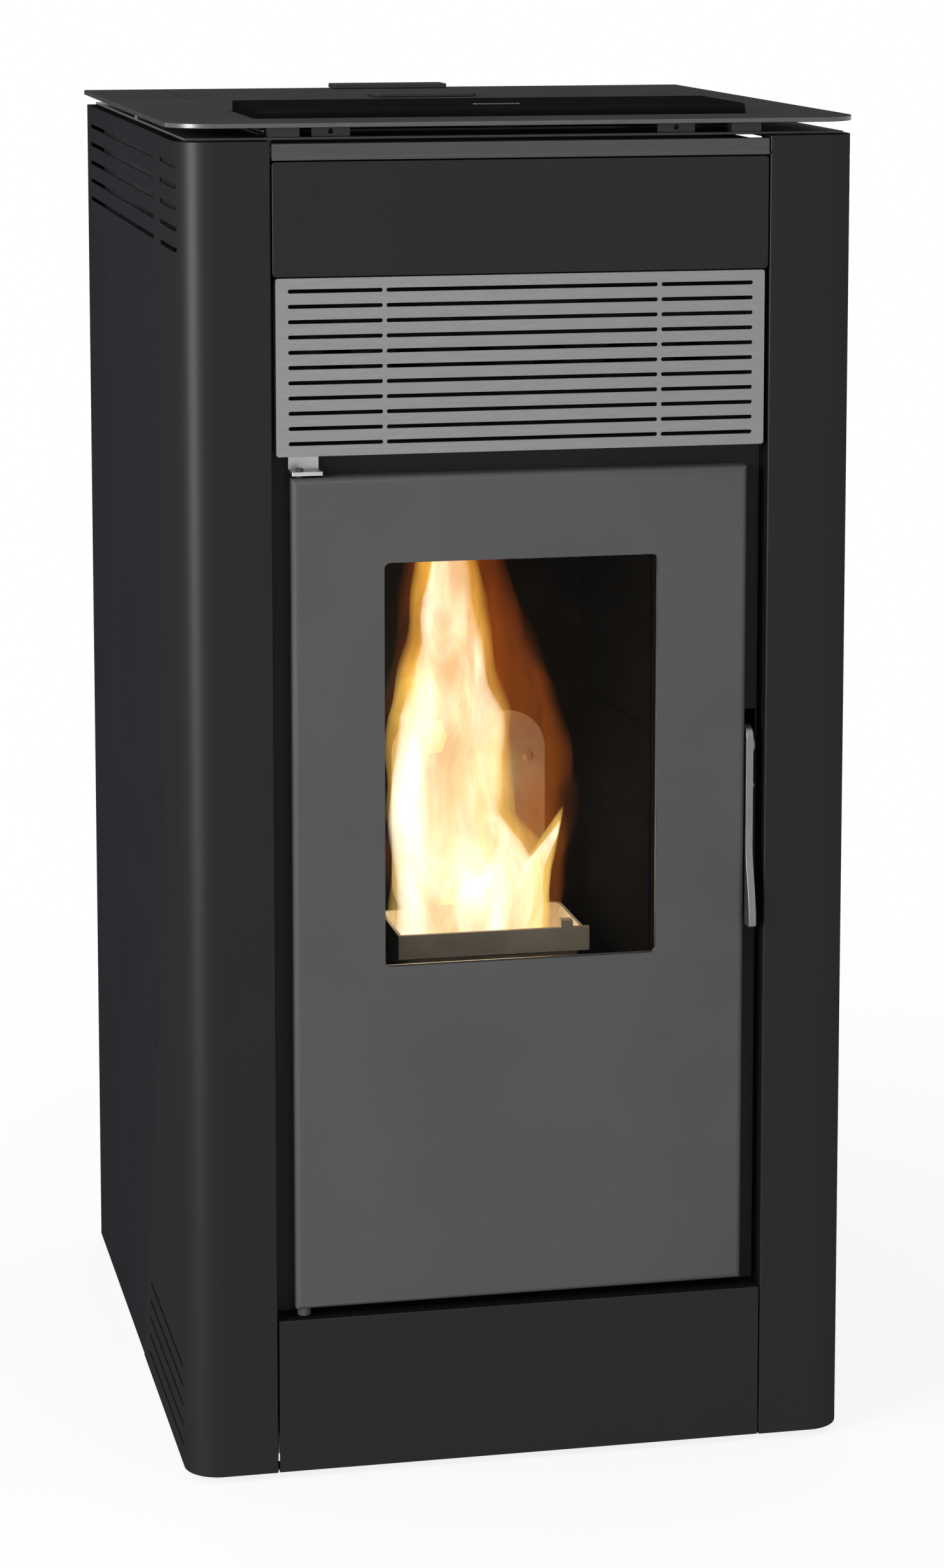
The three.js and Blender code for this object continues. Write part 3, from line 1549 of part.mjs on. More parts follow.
function controlCover() {
  const depth = coverBack - coverFront;
  const section = (inset) =>
    polygon(
      [-depth + inset, -coverHeight - (inset ? 1 : 0)],
      [-inset, -coverHeight - (inset ? 1 : 0)],
      [-inset, -inset],
      ...arc(-depth + coverEdgeRadius, -coverEdgeRadius, coverEdgeRadius - inset, 90, 180),
    );
  const shell = cut(
    prismX(section(0), -coverHalf, coverHalf),
    prismX(section(coverWall), -coverHalf + coverWall, coverHalf - coverWall),
  );
  const half = fingerSlotWidth / 2;
  const opening = prismZ(
    roundedRectangle(-half, half, slotFront, slotFront + fingerSlotDepth, 2),
    -coverHeight,
    1,
  );
  return cut(shell, opening);
}
piece(cover, 'control_cover', controlCover(), glossPaint);

// Bright ring that lines the finger slot.
function coverGripInsert() {
  const half = fingerSlotWidth / 2 - touch;
  const y0 = slotFront + touch;
  const y1 = slotFront + fingerSlotDepth - touch;
  const ring = (inset) =>
    roundedRectangle(inset - half, half - inset, y0 + inset, y1 - inset, 2 - inset / 2);
  return cut(prismZ(ring(0), -coverWall - 3, 0.3), prismZ(ring(1.5), -coverWall - 4, 1));
}
piece(cover, 'cover_grip_insert', coverGripInsert(), brightSteel);

// Control panel below the cover: a flange on the frame, a skirt below it, a display window and button holes.
const panelLow = frameTop + touch;
const panelHigh = panelLow + 2;
const buttonY = 160;
const buttonX = (i) => 20 + i * buttonPitch;

function controlPanel() {
  const [x0, x1, y0, y1] = panelOpening;
  const flange = prismZ(roundedRectangle(x0 - 8, x1 + 8, y0 - 8, y1 + 8, 4), panelLow, panelHigh);
  const skirt = cut(
    block(x0 + 1, x1 - 1, y0 + 1, y1 - 1, panelLow - 16, panelLow + 1),
    block(x0 + 3, x1 - 3, y0 + 3, y1 - 3, panelLow - 17, panelLow),
  );
  const display = cut(
    prismZ(roundedRectangle(-120, -20, 120, 175, 3), panelHigh - 0.5, panelHigh + 2),
    prismZ(roundedRectangle(-116, -24, 124, 171, 2), panelHigh + 0.8, panelHigh + 3),
  );
  const holes = Array.from({ length: buttonCount }, (_, i) =>
    rodZ(buttonX(i), buttonY, buttonRadius + running, panelLow - 1, panelHigh + 1),
  );
  return cut(join(flange, skirt, display), holes);
}
piece(top, 'control_panel', controlPanel(), plastic);

// A button stands in its hole, held by a wider foot below the panel.
function button() {
  const footTop = panelLow - panelHigh - touch;
  const profile = [
    [0, footTop - 2.5],
    [buttonRadius + 2, footTop - 2.5],
    [buttonRadius + 2, footTop],
    [buttonRadius, footTop],
    [buttonRadius, buttonRise - 0.6],
    [buttonRadius - 0.6, buttonRise],
    [0, buttonRise],
  ];
  return turned(profile, 16);
}
for (let i = 0; i < buttonCount; i += 1) {
  piece(assembly(buttonX(i), buttonY, panelHigh, top), `panel_button_${i + 1}`, button(), greyPlastic);
}

// ---------------------------------------------------------------- door

// The door's own frame: x and y count from the hinge axis, z from the lower edge of the door.
const door = assembly(hingeX, hingeDepth, doorBottom);
const doorHeight = doorTop - doorBottom;
const doorLeft = -hingeInset;
const doorRight = doorWidth - hingeInset;
const doorFace = doorFront - hingeDepth;
const doorRear = doorFace + doorThickness;
const windowLeft = (doorWidth - windowWidth) / 2 - hingeInset;
const windowRight = windowLeft + windowWidth;
const windowLow = windowBottom - doorBottom;
const windowHigh = windowTop - doorBottom;
const backingFront = doorFace + 11;
const backingThickness = 2;
const pivotZ = leverPivot - doorBottom;
const leverLeft = doorRight + 0.8;

// Window opening, larger by a margin on every side.
function windowShape(margin, radius) {
  const left = windowLeft - margin;
  const right = windowRight + margin;
  return roundedRectangle(left, right, windowLow - margin, windowHigh + margin, radius);
}

// Plan of the door leaf: its front edges are well rounded, its rear edges a little.
function leafPlan() {
  const r = doorEdgeRadius;
  const s = 3;
  return polygon(
    ...arc(doorLeft + r, doorFace + r, r, 180, 270),
    ...arc(doorRight - r, doorFace + r, r, 270, 360),
    ...arc(doorRight - s, doorRear - s, s, 0, 90, 3),
    ...arc(doorLeft + s, doorRear - s, s, 90, 180, 3),
  );
}

function doorFrame() {
  const left = doorLeft + doorSkin;
  const right = doorRight - doorSkin;
  const low = doorSkin;
  const high = doorHeight - doorSkin;
  const skinRear = doorFace + doorSkin;
  const whole = prismZ(leafPlan(), 0, doorHeight);
  // The upper and lower front edges are rounded as the sides are.
  const r = doorEdgeRadius;
  const edges = prismX(
    polygon(
      ...arc(doorFace + r, r, r, 270, 180).map(([y, z]) => [y, z]),
      ...arc(doorFace + r, doorHeight - r, r, 180, 90).map(([y, z]) => [y, z]),
      [doorRear, doorHeight],
      [doorRear, 0],
    ),
    doorLeft - 1,
    doorRight + 1,
  );
  const leaf = whole.intersect(edges);
  const behind = block(left, right, backingFront + backingThickness, doorRear + 1, low, high);
  const between = block(left, right, skinRear, backingFront, low, high);
  const window = prismY(windowShape(0, windowCorner), doorFace - 1, doorRear + 1);
  const glassRoom = prismY(windowShape(glassLap + 2, 4), skinRear, backingFront + backingThickness + 1);
  const handleHole = rodX(0, pivotZ, leverPinRadius + running, right - 1, doorRight + 1);
  const shell = cut(leaf, behind, between, window, glassRoom, handleHole);
  const lowerPin = rodZ(0, 0, hingePinRadius, ledgeHeight - 8 - doorBottom, low + 1);
  const lowerCollar = rodZ(0, 0, 5.5, ledgeHeight + 1 - doorBottom, 1);
  const upperPin = rodZ(0, 0, hingePinRadius, high - 1, doorHeight + 7);
  return join(shell, lowerPin, lowerCollar, upperPin);
}
piece(door, 'door_frame', doorFrame(), doorPaint);

const glassFront = doorFace + doorSkin + touch;
piece(
  door,
  'door_glass',
  prismY(windowShape(glassLap, 3), glassFront, glassFront + glassThickness),
  darkGlass,
);

// Retainer: a ring behind the glass, with a lip that presses on it.
function glassRetainer() {
  const glassRear = glassFront + glassThickness + touch;
  const plateFront = backingFront + backingThickness + touch;
  const ring = cut(
    prismY(windowShape(glassLap + 11, 6), plateFront, plateFront + sheet),
    prismY(windowShape(2, 3), plateFront - 1, plateFront + sheet + 1),
  );
  const lip = cut(
    prismY(windowShape(glassLap - 1, 3), glassRear, plateFront + sheet),
    prismY(windowShape(glassLap - 5, 3), glassRear - 1, plateFront + sheet + 1),
  );
  return join(ring, lip);
}
piece(door, 'glass_retainer', glassRetainer(), plainSteel);

// Rope seal between the door and the plate behind it.
function doorSeal() {
  const y0 = backingFront + backingThickness + touch;
  const y1 = plateFace - hingeDepth - touch;
  const x0 = doorLeft + sealInset;
  const x1 = doorRight - sealInset;
  const z0 = sealInset - 14;
  const z1 = doorHeight - sealInset + 14;
  const ring = (inset, radius) => roundedRectangle(x0 + inset, x1 - inset, z0 + inset, z1 - inset, radius);
  return cut(prismY(ring(0, 14), y0, y1), prismY(ring(sealWidth, 6), y0 - 1, y1 + 1));
}
piece(door, 'door_seal', doorSeal(), rope);

// Handle lever: a flat bar at the free edge of the door, with a nose that reaches behind the plate.
const lever = assembly(leverLeft, 0, pivotZ, door);

function doorHandle() {
  const up = leverTop - leverPivot;
  const down = leverPivot - leverBottom;
  const front = doorFace;
  const back = front + leverDepth;
  const noseLow = strikerTop + latchDrop - leverPivot;
  const nose = plateFace + 9 - hingeDepth;
  const profile = polygon(
    [back, -18],
    [nose - 4, -20],
    [nose, noseLow + 4],
    [nose, noseLow],
    [back, noseLow],
    [back - 4, noseLow - 4],
    [back - 4, -down + 62],
    [back - 6, -down + 40],
    [back - leverKick - 2, -down + 4],
    [back - leverKick - 6, -down],
    [front - leverKick + 2, -down],
    [front - leverKick, -down + 3],
    [front - 2, -down + 48],
    [front, -down + 66],
    [front, up - 10],
    ...arc(front + 10, up - 10, 10, 180, 90),
    [back - 6, up],
    [back - 5, up - 7],
    [back, up - 8],
  );
  const bar = prismX(profile, 0, leverWidth);
  const pin = rodX(0, 0, leverPinRadius, touch - 4, 1);
  const washer = rodX(0, 0, 7, leverWidth - 1, leverWidth + 2);
  return join(bar, pin, washer);
}
piece(lever, 'door_handle', doorHandle(), plainSteel);

// ---------------------------------------------------------------- placing

const frontReach = leverKick - doorFront;
stove.position.y = -(flueReach - frontReach) / 2;

export default stove;
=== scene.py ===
"""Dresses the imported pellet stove: finishes, fine edges, the fire behind the glass and a plain studio."""

import json
import math
import random

import bmesh
import bpy
from mathutils import Matrix, Vector


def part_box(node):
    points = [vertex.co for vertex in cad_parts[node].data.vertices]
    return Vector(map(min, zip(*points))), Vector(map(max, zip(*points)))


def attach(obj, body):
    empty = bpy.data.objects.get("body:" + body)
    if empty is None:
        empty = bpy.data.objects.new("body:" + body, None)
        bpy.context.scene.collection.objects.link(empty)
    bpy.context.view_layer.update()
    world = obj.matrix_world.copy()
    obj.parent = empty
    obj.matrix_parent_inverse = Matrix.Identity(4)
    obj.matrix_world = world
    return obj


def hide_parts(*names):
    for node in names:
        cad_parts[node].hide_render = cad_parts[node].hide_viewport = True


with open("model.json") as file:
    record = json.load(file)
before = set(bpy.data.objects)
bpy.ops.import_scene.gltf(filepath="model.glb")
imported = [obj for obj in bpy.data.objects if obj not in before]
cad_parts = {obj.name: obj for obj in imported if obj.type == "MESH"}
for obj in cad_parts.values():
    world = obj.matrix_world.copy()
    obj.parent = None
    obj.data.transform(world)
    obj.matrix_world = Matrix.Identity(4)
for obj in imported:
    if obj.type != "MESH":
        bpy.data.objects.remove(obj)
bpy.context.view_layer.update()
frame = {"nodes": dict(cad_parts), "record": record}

MM = 0.001

# ---------------------------------------------------------------- camera

CAMERA_PLACE = Vector((-0.6742, -3.3216, 1.2434))
CAMERA_YAW = math.radians(11.909)
CAMERA_PITCH = math.radians(7.495)
CAMERA_LENS = 91.46
CAMERA_SHIFT = -0.226
SENSOR = 36.0


def add_camera():
    data = bpy.data.cameras.new("camera")
    data.lens = CAMERA_LENS
    data.sensor_width = SENSOR
    data.sensor_fit = "AUTO"
    data.shift_y = CAMERA_SHIFT
    data.clip_end = 60
    camera = bpy.data.objects.new("camera", data)
    camera.location = CAMERA_PLACE
    camera.rotation_euler = (math.pi / 2 - CAMERA_PITCH, 0, -CAMERA_YAW)
    bpy.context.scene.collection.objects.link(camera)
    bpy.context.scene.camera = camera


# ---------------------------------------------------------------- studio

FLOOR_COLOR = (0.72, 0.72, 0.72)
FLOOR_WHITE = 0.85
FLOOR_FADE = (0.6, 1.5)
WORLD_LEVEL = 0.85

# Each row: name, place, target and size in metres, then the power in watts.
LIGHTS = [
    ("left_strip", (-2.9, -1.7, 1.3), (-0.2, -0.2, 0.6), (1.2, 2.4), 125),
    ("front_softbox", (-0.6, -3.6, 3.4), (0, 0, 0.8), (2.4, 1.6), 26),
    ("top_softbox", (0.2, 0.4, 3.6), (0, 0, 0), (2.6, 2.6), 16),
]


def aim(light, target):
    light.rotation_euler = (target - light.location).to_track_quat("-Z", "Y").to_euler()


def area_light(name, place, target, size, power):
    data = bpy.data.lights.new(name, "AREA")
    data.shape = "RECTANGLE"
    data.size, data.size_y = size
    data.energy = power
    light = bpy.data.objects.new(name, data)
    light.location = place
    aim(light, Vector(target))
    bpy.context.scene.collection.objects.link(light)


def background_rays(nodes, links):
    """A value that is 1 on the rays that should see the plain white background."""
    path = nodes.new("ShaderNodeLightPath")
    total = path.outputs["Is Camera Ray"]
    for name in ("Is Glossy Ray", "Is Transmission Ray"):
        add = nodes.new("ShaderNodeMath")
        add.operation = "MAXIMUM"
        links.new(total, add.inputs[0])
        links.new(path.outputs[name], add.inputs[1])
        total = add.outputs[0]
    return total


def add_world():
    world = bpy.data.worlds.new("studio")
    bpy.context.scene.world = world
    world.use_nodes = True
    nodes, links = world.node_tree.nodes, world.node_tree.links
    nodes.clear()
    lit = nodes.new("ShaderNodeBackground")
    lit.inputs["Color"].default_value = (1, 1, 1, 1)
    lit.inputs["Strength"].default_value = WORLD_LEVEL
    seen = nodes.new("ShaderNodeBackground")
    seen.inputs["Color"].default_value = (1, 1, 1, 1)
    seen.inputs["Strength"].default_value = 1
    mix = nodes.new("ShaderNodeMixShader")
    out = nodes.new("ShaderNodeOutputWorld")
    links.new(background_rays(nodes, links), mix.inputs["Fac"])
    links.new(lit.outputs[0], mix.inputs[1])
    links.new(seen.outputs[0], mix.inputs[2])
    links.new(mix.outputs[0], out.inputs["Surface"])


def add_floor():
    reach = 8
    mesh = bpy.data.meshes.new("floor")
    corners = [(-reach, -reach, 0), (reach, -reach, 0), (reach, reach, 0), (-reach, reach, 0)]
    mesh.from_pydata(corners, [], [(0, 1, 2, 3)])
    floor = bpy.data.objects.new("floor", mesh)
    bpy.context.scene.collection.objects.link(floor)
    material = bpy.data.materials.new("floor")
    material.use_nodes = True
    nodes, links = material.node_tree.nodes, material.node_tree.links
    shader = nodes["Principled BSDF"]
    shader.inputs["Base Color"].default_value = (*FLOOR_COLOR, 1)
    shader.inputs["Roughness"].default_value = 0.8
    shader.inputs["Specular IOR Level"].default_value = 0.1
    white = nodes.new("ShaderNodeEmission")
    place = nodes.new("ShaderNodeTexCoord")
    away = nodes.new("ShaderNodeVectorMath")
    away.operation = "LENGTH"
    fade = nodes.new("ShaderNodeMapRange")
    for socket, value in zip(("From Min", "From Max", "To Min"), (*FLOOR_FADE, FLOOR_WHITE)):
        fade.inputs[socket].default_value = value
    share = nodes.new("ShaderNodeMath")
    share.operation = "MULTIPLY"
    mix = nodes.new("ShaderNodeMixShader")
    links.new(place.outputs["Object"], away.inputs[0])
    links.new(away.outputs["Value"], fade.inputs["Value"])
    links.new(fade.outputs["Result"], share.inputs[1])
    links.new(background_rays(nodes, links), share.inputs[0])
    links.new(share.outputs[0], mix.inputs["Fac"])
    links.new(shader.outputs[0], mix.inputs[1])
    links.new(white.outputs[0], mix.inputs[2])
    links.new(mix.outputs[0], nodes["Material Output"].inputs["Surface"])
    mesh.materials.append(material)


def add_studio():
    add_world()
    add_floor()
    for row in LIGHTS:
        area_light(*row)
    bpy.context.scene.view_settings.view_transform = "Standard"


add_camera()
add_studio()


# ---------------------------------------------------------------- shapes

RECORD = frame["record"]
BODY_OF = {node: body for body, nodes in RECORD["behaviour"]["bodies"].items() for node in nodes}
FRONT_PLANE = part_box("left_front_column")[0].y / MM

# How far an edge turns, in degrees, before it is bevelled and before it is left sharp.
BEVEL_FROM = 40
SHARP_FROM = 34

# Where two places across an axis and one along it go in x, y and z.
ACROSS = {"x": lambda u, v, w: (w, u, v), "y": lambda u, v, w: (u, w, v), "z": lambda u, v, w: (u, v, w)}


def at(x, y, z):
    """A place in millimetres, its depth counted from the front plane of the columns."""
    return Vector((x, y + FRONT_PLANE, z)) * MM


def cad_box(node):
    """The six sides of a CAD node in millimetres: x0, x1, y0, y1, z0, z1, depths from the front plane."""
    lo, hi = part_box(node)
    return (lo.x / MM, hi.x / MM, lo.y / MM - FRONT_PLANE, hi.y / MM - FRONT_PLANE, lo.z / MM, hi.z / MM)


def arc(u, v, radius, start, end, steps=10):
    angles = [math.radians(start + (end - start) * i / steps) for i in range(steps + 1)]
    return [(u + radius * math.cos(a), v + radius * math.sin(a)) for a in angles]


def rounded(u0, u1, v0, v1, low, high=None, steps=8):
    high = low if high is None else high
    return (arc(u0 + low, v0 + low, low, 180, 270, steps) + arc(u1 - low, v0 + low, low, 270, 360, steps)
            + arc(u1 - high, v1 - high, high, 0, 90, steps) + arc(u0 + high, v1 - high, high, 90, 180, steps))


def long_slot(u0, u1, v, height, steps=6):
    r = height / 2
    return arc(u1 - r, v, r, -90, 90, steps) + arc(u0 + r, v, r, 90, 270, steps)


def circle(u, v, radius, sides=48):
    return arc(u, v, radius, 0, 360 * (sides - 1) / sides, sides - 1)


def rectangle(u0, u1, v0, v1):
    return [(u0, v0), (u1, v0), (u1, v1), (u0, v1)]


def link(name, form):
    bmesh.ops.recalc_face_normals(form, faces=form.faces)
    mesh = bpy.data.meshes.new(name)
    form.to_mesh(mesh)
    form.free()
    obj = bpy.data.objects.new(name, mesh)
    bpy.context.scene.collection.objects.link(obj)
    return obj


def add_prism(form, axis, outline, w0, w1):
    spot = ACROSS[axis]
    low = [form.verts.new(at(*spot(u, v, w0))) for u, v in outline]
    high = [form.verts.new(at(*spot(u, v, w1))) for u, v in outline]
    form.faces.new(low[::-1])
    form.faces.new(high)
    for i in range(len(outline)):
        k = (i + 1) % len(outline)
        form.faces.new((low[i], low[k], high[k], high[i]))


def prisms(axis, outlines, w0, w1):
    """One object of several separate prisms, each an outline drawn across the axis and run from w0 to w1."""
    form = bmesh.new()
    for outline in outlines:
        add_prism(form, axis, outline, w0, w1)
    return link("tool", form)


def prism(axis, outline, w0, w1):
    return prisms(axis, [outline], w0, w1)


def block(x0, x1, y0, y1, z0, z1):
    return prism("z", rectangle(x0, x1, y0, y1), z0, z1)


def turned(axis, centre, profile, sides=64):
    """A body turned about an axis through centre, from a closed profile of (radius, along) pairs."""
    form = bmesh.new()
    spot = ACROSS[axis]
    rings = []
    for i in range(sides):
        angle = 2 * math.pi * i / sides
        turn = (math.cos(angle), math.sin(angle))
        rings.append([form.verts.new(at(*spot(centre[0] + r * turn[0], centre[1] + r * turn[1], w)))
                      for r, w in profile])
    for i in range(sides):
        ring, after = rings[i], rings[(i + 1) % sides]
        for k in range(len(profile)):
            n = (k + 1) % len(profile)
            form.faces.new((ring[k], after[k], after[n], ring[n]))
    bmesh.ops.remove_doubles(form, verts=form.verts, dist=1e-7)
    return link("tool", form)


def bake(obj):
    graph = bpy.context.evaluated_depsgraph_get()
    mesh = bpy.data.meshes.new_from_object(obj.evaluated_get(graph))
    obj.modifiers.clear()
    old, obj.data = obj.data, mesh
    bpy.data.meshes.remove(old)


def combine(obj, tools, operation):
    for tool in tools:
        change = obj.modifiers.new("change", "BOOLEAN")
        change.operation = operation
        change.solver = "EXACT"
        change.object = tool
    bake(obj)
    for tool in tools:
        mesh = tool.data
        bpy.data.objects.remove(tool)
        bpy.data.meshes.remove(mesh)
    return obj


def cut(obj, *tools):
    return combine(obj, tools, "DIFFERENCE")


def weld(obj, *tools):
    return combine(obj, tools, "UNION")


def show(obj, name, node, material, bevel=0.4, segments=2, replaces=True, body=None):
    """Gives a finished piece its name, its fine edges, its finish and the CAD body that it rides on."""
    obj.name = name
    obj.data.name = name
    obj.data.materials.clear()
    obj.data.materials.append(material)
    for polygon in obj.data.polygons:
        polygon.material_index = 0
    if bevel:
        edge = obj.modifiers.new("edges", "BEVEL")
        edge.width = bevel * MM
        edge.segments = segments
        edge.limit_method = "ANGLE"
        edge.angle_limit = math.radians(BEVEL_FROM)
        edge.use_clamp_overlap = False
        edge.miter_outer = "MITER_ARC"
        bake(obj)
        obj.data.name = name
    obj.data.polygons.foreach_set("use_smooth", [True] * len(obj.data.polygons))
    obj.data.set_sharp_from_angle(angle=math.radians(SHARP_FROM))
    normals = obj.modifiers.new("normals", "WEIGHTED_NORMAL")
    normals.keep_sharp = True
    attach(obj, body or BODY_OF[node])
    if replaces:
        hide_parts(node)


# ---------------------------------------------------------------- finishes

class Finish:
    """A material with its own node tree and short ways to wire it."""

    def __init__(self, name, color, roughness, metallic=0.0, specular=0.5):
        self.material = bpy.data.materials.new(name)
        self.material.use_nodes = True
        self.nodes = self.material.node_tree.nodes
        self.links = self.material.node_tree.links
        self.shader = self.nodes["Principled BSDF"]
        self.color = color
        self.roughness = roughness
        self.heights = []
        self.set("Base Color", (*color, 1))
        self.set("Roughness", roughness)
        self.set("Metallic", metallic)
        self.set("Specular IOR Level", specular)

    def set(self, socket, value):
        self.shader.inputs[socket].default_value = value

    def texture(self, kind, scale, stretch=(1, 1, 1), detail=2.0, turn=(0, 0, 0)):
        place = self.nodes.new("ShaderNodeTexCoord")
        mapping = self.nodes.new("ShaderNodeMapping")
        mapping.inputs["Scale"].default_value = [scale * s for s in stretch]
        mapping.inputs["Rotation"].default_value = turn
        texture = self.nodes.new(kind)
        self.links.new(place.outputs["Object"], mapping.inputs["Vector"])
        self.links.new(mapping.outputs["Vector"], texture.inputs["Vector"])
        texture.inputs["Scale"].default_value = 1
        if "Detail" in texture.inputs:
            texture.inputs["Detail"].default_value = detail
        return texture

    def noise(self, scale, stretch=(1, 1, 1), detail=2.0):
        return self.texture("ShaderNodeTexNoise", scale, stretch, detail).outputs["Fac"]

    def span(self, value, low, high, start=0.3, end=0.7):
        node = self.nodes.new("ShaderNodeMapRange")
        for socket, number in (("From Min", start), ("From Max", end), ("To Min", low), ("To Max", high)):
            node.inputs[socket].default_value = number
        self.links.new(value, node.inputs["Value"])
        return node.outputs["Result"]

    def mix(self, factor, first, second):
        """A colour between two, each a colour or the output of a node."""
        node = self.nodes.new("ShaderNodeMix")
        node.data_type = "RGBA"
        self.links.new(factor, node.inputs[0])
        for socket, value in ((6, first), (7, second)):
            if isinstance(value, tuple):
                node.inputs[socket].default_value = (*value, 1)
            else:
                self.links.new(value, node.inputs[socket])
        return node.outputs[2]

    def tint(self, value, change):
        """Lets the colour drift by a share with a pattern."""
        darker = tuple(c * (1 - change) for c in self.color)
        lighter = tuple(c * (1 + change) for c in self.color)
        self.links.new(self.mix(self.span(value, 0, 1), darker, lighter), self.shader.inputs["Base Color"])

    def spread(self, value, change):
        """Lets the roughness drift with a pattern."""
        rough = self.span(value, self.roughness - change, self.roughness + change)
        self.links.new(rough, self.shader.inputs["Roughness"])

    def relief(self, value, strength, depth):
        """Adds a pattern to the relief of the surface, with its depth in millimetres."""
        bump = self.nodes.new("ShaderNodeBump")
        bump.inputs["Strength"].default_value = strength
        bump.inputs["Distance"].default_value = depth * MM
        self.links.new(value, bump.inputs["Height"])
        if self.heights:
            self.links.new(self.heights[-1], bump.inputs["Normal"])
        self.heights.append(bump.outputs["Normal"])
        self.links.new(bump.outputs["Normal"], self.shader.inputs["Normal"])

    def gloss(self, share, roughness):
        """Lays an even gloss over the surface, the same from every side."""
        shine = self.nodes.new("ShaderNodeBsdfGlossy")
        shine.inputs["Roughness"].default_value = roughness
        if self.heights:
            self.links.new(self.heights[-1], shine.inputs["Normal"])
        mix = self.nodes.new("ShaderNodeMixShader")
        mix.inputs["Fac"].default_value = share
        self.links.new(self.shader.outputs[0], mix.inputs[1])
        self.links.new(shine.outputs[0], mix.inputs[2])
        self.links.new(mix.outputs[0], self.nodes["Material Output"].inputs["Surface"])


def powder_paint(name, color, roughness, grain=1100, strength=0.35, depth=0.05, gloss=0.015):
    """Powder coat: a fine skin like orange peel, with slow drifts of tone and an even gloss."""
    finish = Finish(name, color, roughness, specular=0)
    finish.relief(finish.noise(grain, detail=3), strength, depth)
    finish.relief(finish.noise(grain / 5, detail=1), strength * 0.4, depth * 2)
    finish.tint(finish.noise(9, detail=4), 0.06)
    finish.gloss(gloss, roughness)
    return finish.material


def brushed(name, color, roughness, stretch=(1, 30, 30), metallic=0.9):
    """Steel with short fine lines across it."""
    finish = Finish(name, color, roughness, metallic=metallic)
    lines = finish.noise(60, stretch, 3)
    finish.relief(lines, 0.12, 0.03)
    finish.tint(lines, 0.12)
    finish.spread(lines, 0.07)
    return finish.material


def galvanised(name, color=(0.46, 0.465, 0.475)):
    """Zinc sheet: flat crystals of slightly different brightness."""
    finish = Finish(name, color, 0.4, metallic=0.95)
    crystals = finish.texture("ShaderNodeTexVoronoi", 90)
    separate = finish.nodes.new("ShaderNodeSeparateColor")
    finish.links.new(crystals.outputs["Color"], separate.inputs["Color"])
    shade = finish.span(separate.outputs["Red"], 0, 1, 0, 1)
    darker = tuple(c * 0.8 for c in color)
    lighter = tuple(min(c * 1.15, 1) for c in color)
    finish.links.new(finish.mix(shade, darker, lighter), finish.shader.inputs["Base Color"])
    rough = finish.span(separate.outputs["Green"], 0.3, 0.48, 0, 1)
    finish.links.new(rough, finish.shader.inputs["Roughness"])
    finish.relief(finish.noise(300, detail=2), 0.08, 0.03)
    return finish.material


def sooty(name, color, ash, roughness=0.85, metallic=0.0, share=(0.5, 0.72)):
    """A surface near the fire: soot with lighter ash in patches and a rough skin."""
    finish = Finish(name, color, roughness, metallic=metallic, specular=0.08)
    patches = finish.span(finish.noise(22, detail=8), 0, 1, *share)
    finish.links.new(finish.mix(patches, color, ash), finish.shader.inputs["Base Color"])
    finish.relief(finish.noise(420, detail=4), 0.5, 0.2)
    finish.relief(finish.noise(60, detail=2), 0.3, 0.4)
    finish.spread(finish.noise(40, detail=4), 0.08)
    return finish.material


def casting(name, color):
    finish = Finish(name, color, 0.62, metallic=0.35)
    finish.relief(finish.noise(520, detail=4), 0.5, 0.15)
    finish.tint(finish.noise(30, detail=4), 0.15)
    finish.spread(finish.noise(60), 0.06)
    return finish.material


def plastic(name, color, roughness=0.45):
    finish = Finish(name, color, roughness)
    finish.relief(finish.noise(1500, detail=2), 0.25, 0.03)
    finish.tint(finish.noise(20), 0.05)
    finish.spread(finish.noise(50), 0.03)
    return finish.material


def rope_weave(name):
    """Woven glass fibre: two sets of slanting strands."""
    finish = Finish(name, (0.33, 0.32, 0.3), 0.95)
    one = finish.texture("ShaderNodeTexWave", 260, turn=(0, 0.8, 0.8))
    two = finish.texture("ShaderNodeTexWave", 260, turn=(0, -0.8, -0.8))
    finish.relief(one.outputs["Fac"], 0.7, 0.5)
    finish.relief(two.outputs["Fac"], 0.7, 0.5)
    finish.tint(one.outputs["Fac"], 0.2)
    return finish.material


def dark_glass(name):
    """Ceramic glass that is tinted dark, with a faint unevenness and a thin veil of soot."""
    clear, veiled = (0.62, 0.6, 0.58), (0.42, 0.4, 0.38)
    finish = Finish(name, clear, 0.02, specular=0.5)
    finish.set("Transmission Weight", 1)
    finish.set("IOR", 1.1)
    veil = finish.span(finish.noise(11, detail=6), 0, 1, 0.35, 0.8)
    finish.links.new(finish.mix(veil, clear, veiled), finish.shader.inputs["Base Color"])
    finish.relief(finish.noise(9, detail=1), 0.02, 0.2)
    return finish.material


COLUMN_PAINT = powder_paint("column_paint", (0.0042, 0.0042, 0.0044), 0.42, gloss=0.0248)
SIDE_PAINT = powder_paint("side_panel_paint", (0.0128, 0.0129, 0.0149), 0.5, gloss=0.003)
TOP_PAINT = powder_paint("top_plate_paint", (0.032, 0.032, 0.033), 0.6, 700, 0.8, 0.12, gloss=0.006)
LID_PAINT = powder_paint("lid_paint", (0.032, 0.032, 0.033), 0.55, 800, 0.7, 0.1, gloss=0.006)
DOOR_PAINT = powder_paint("door_paint", (0.058, 0.058, 0.059), 0.5, 1400, 0.3, gloss=0.014)
PLATE_PAINT = powder_paint("front_plate_paint", (0.02, 0.02, 0.021), 0.55, gloss=0.01)
GLOSS_BLACK = powder_paint("gloss_black", (0.008, 0.008, 0.0082), 0.18, 60, 0.05, gloss=0.0205)
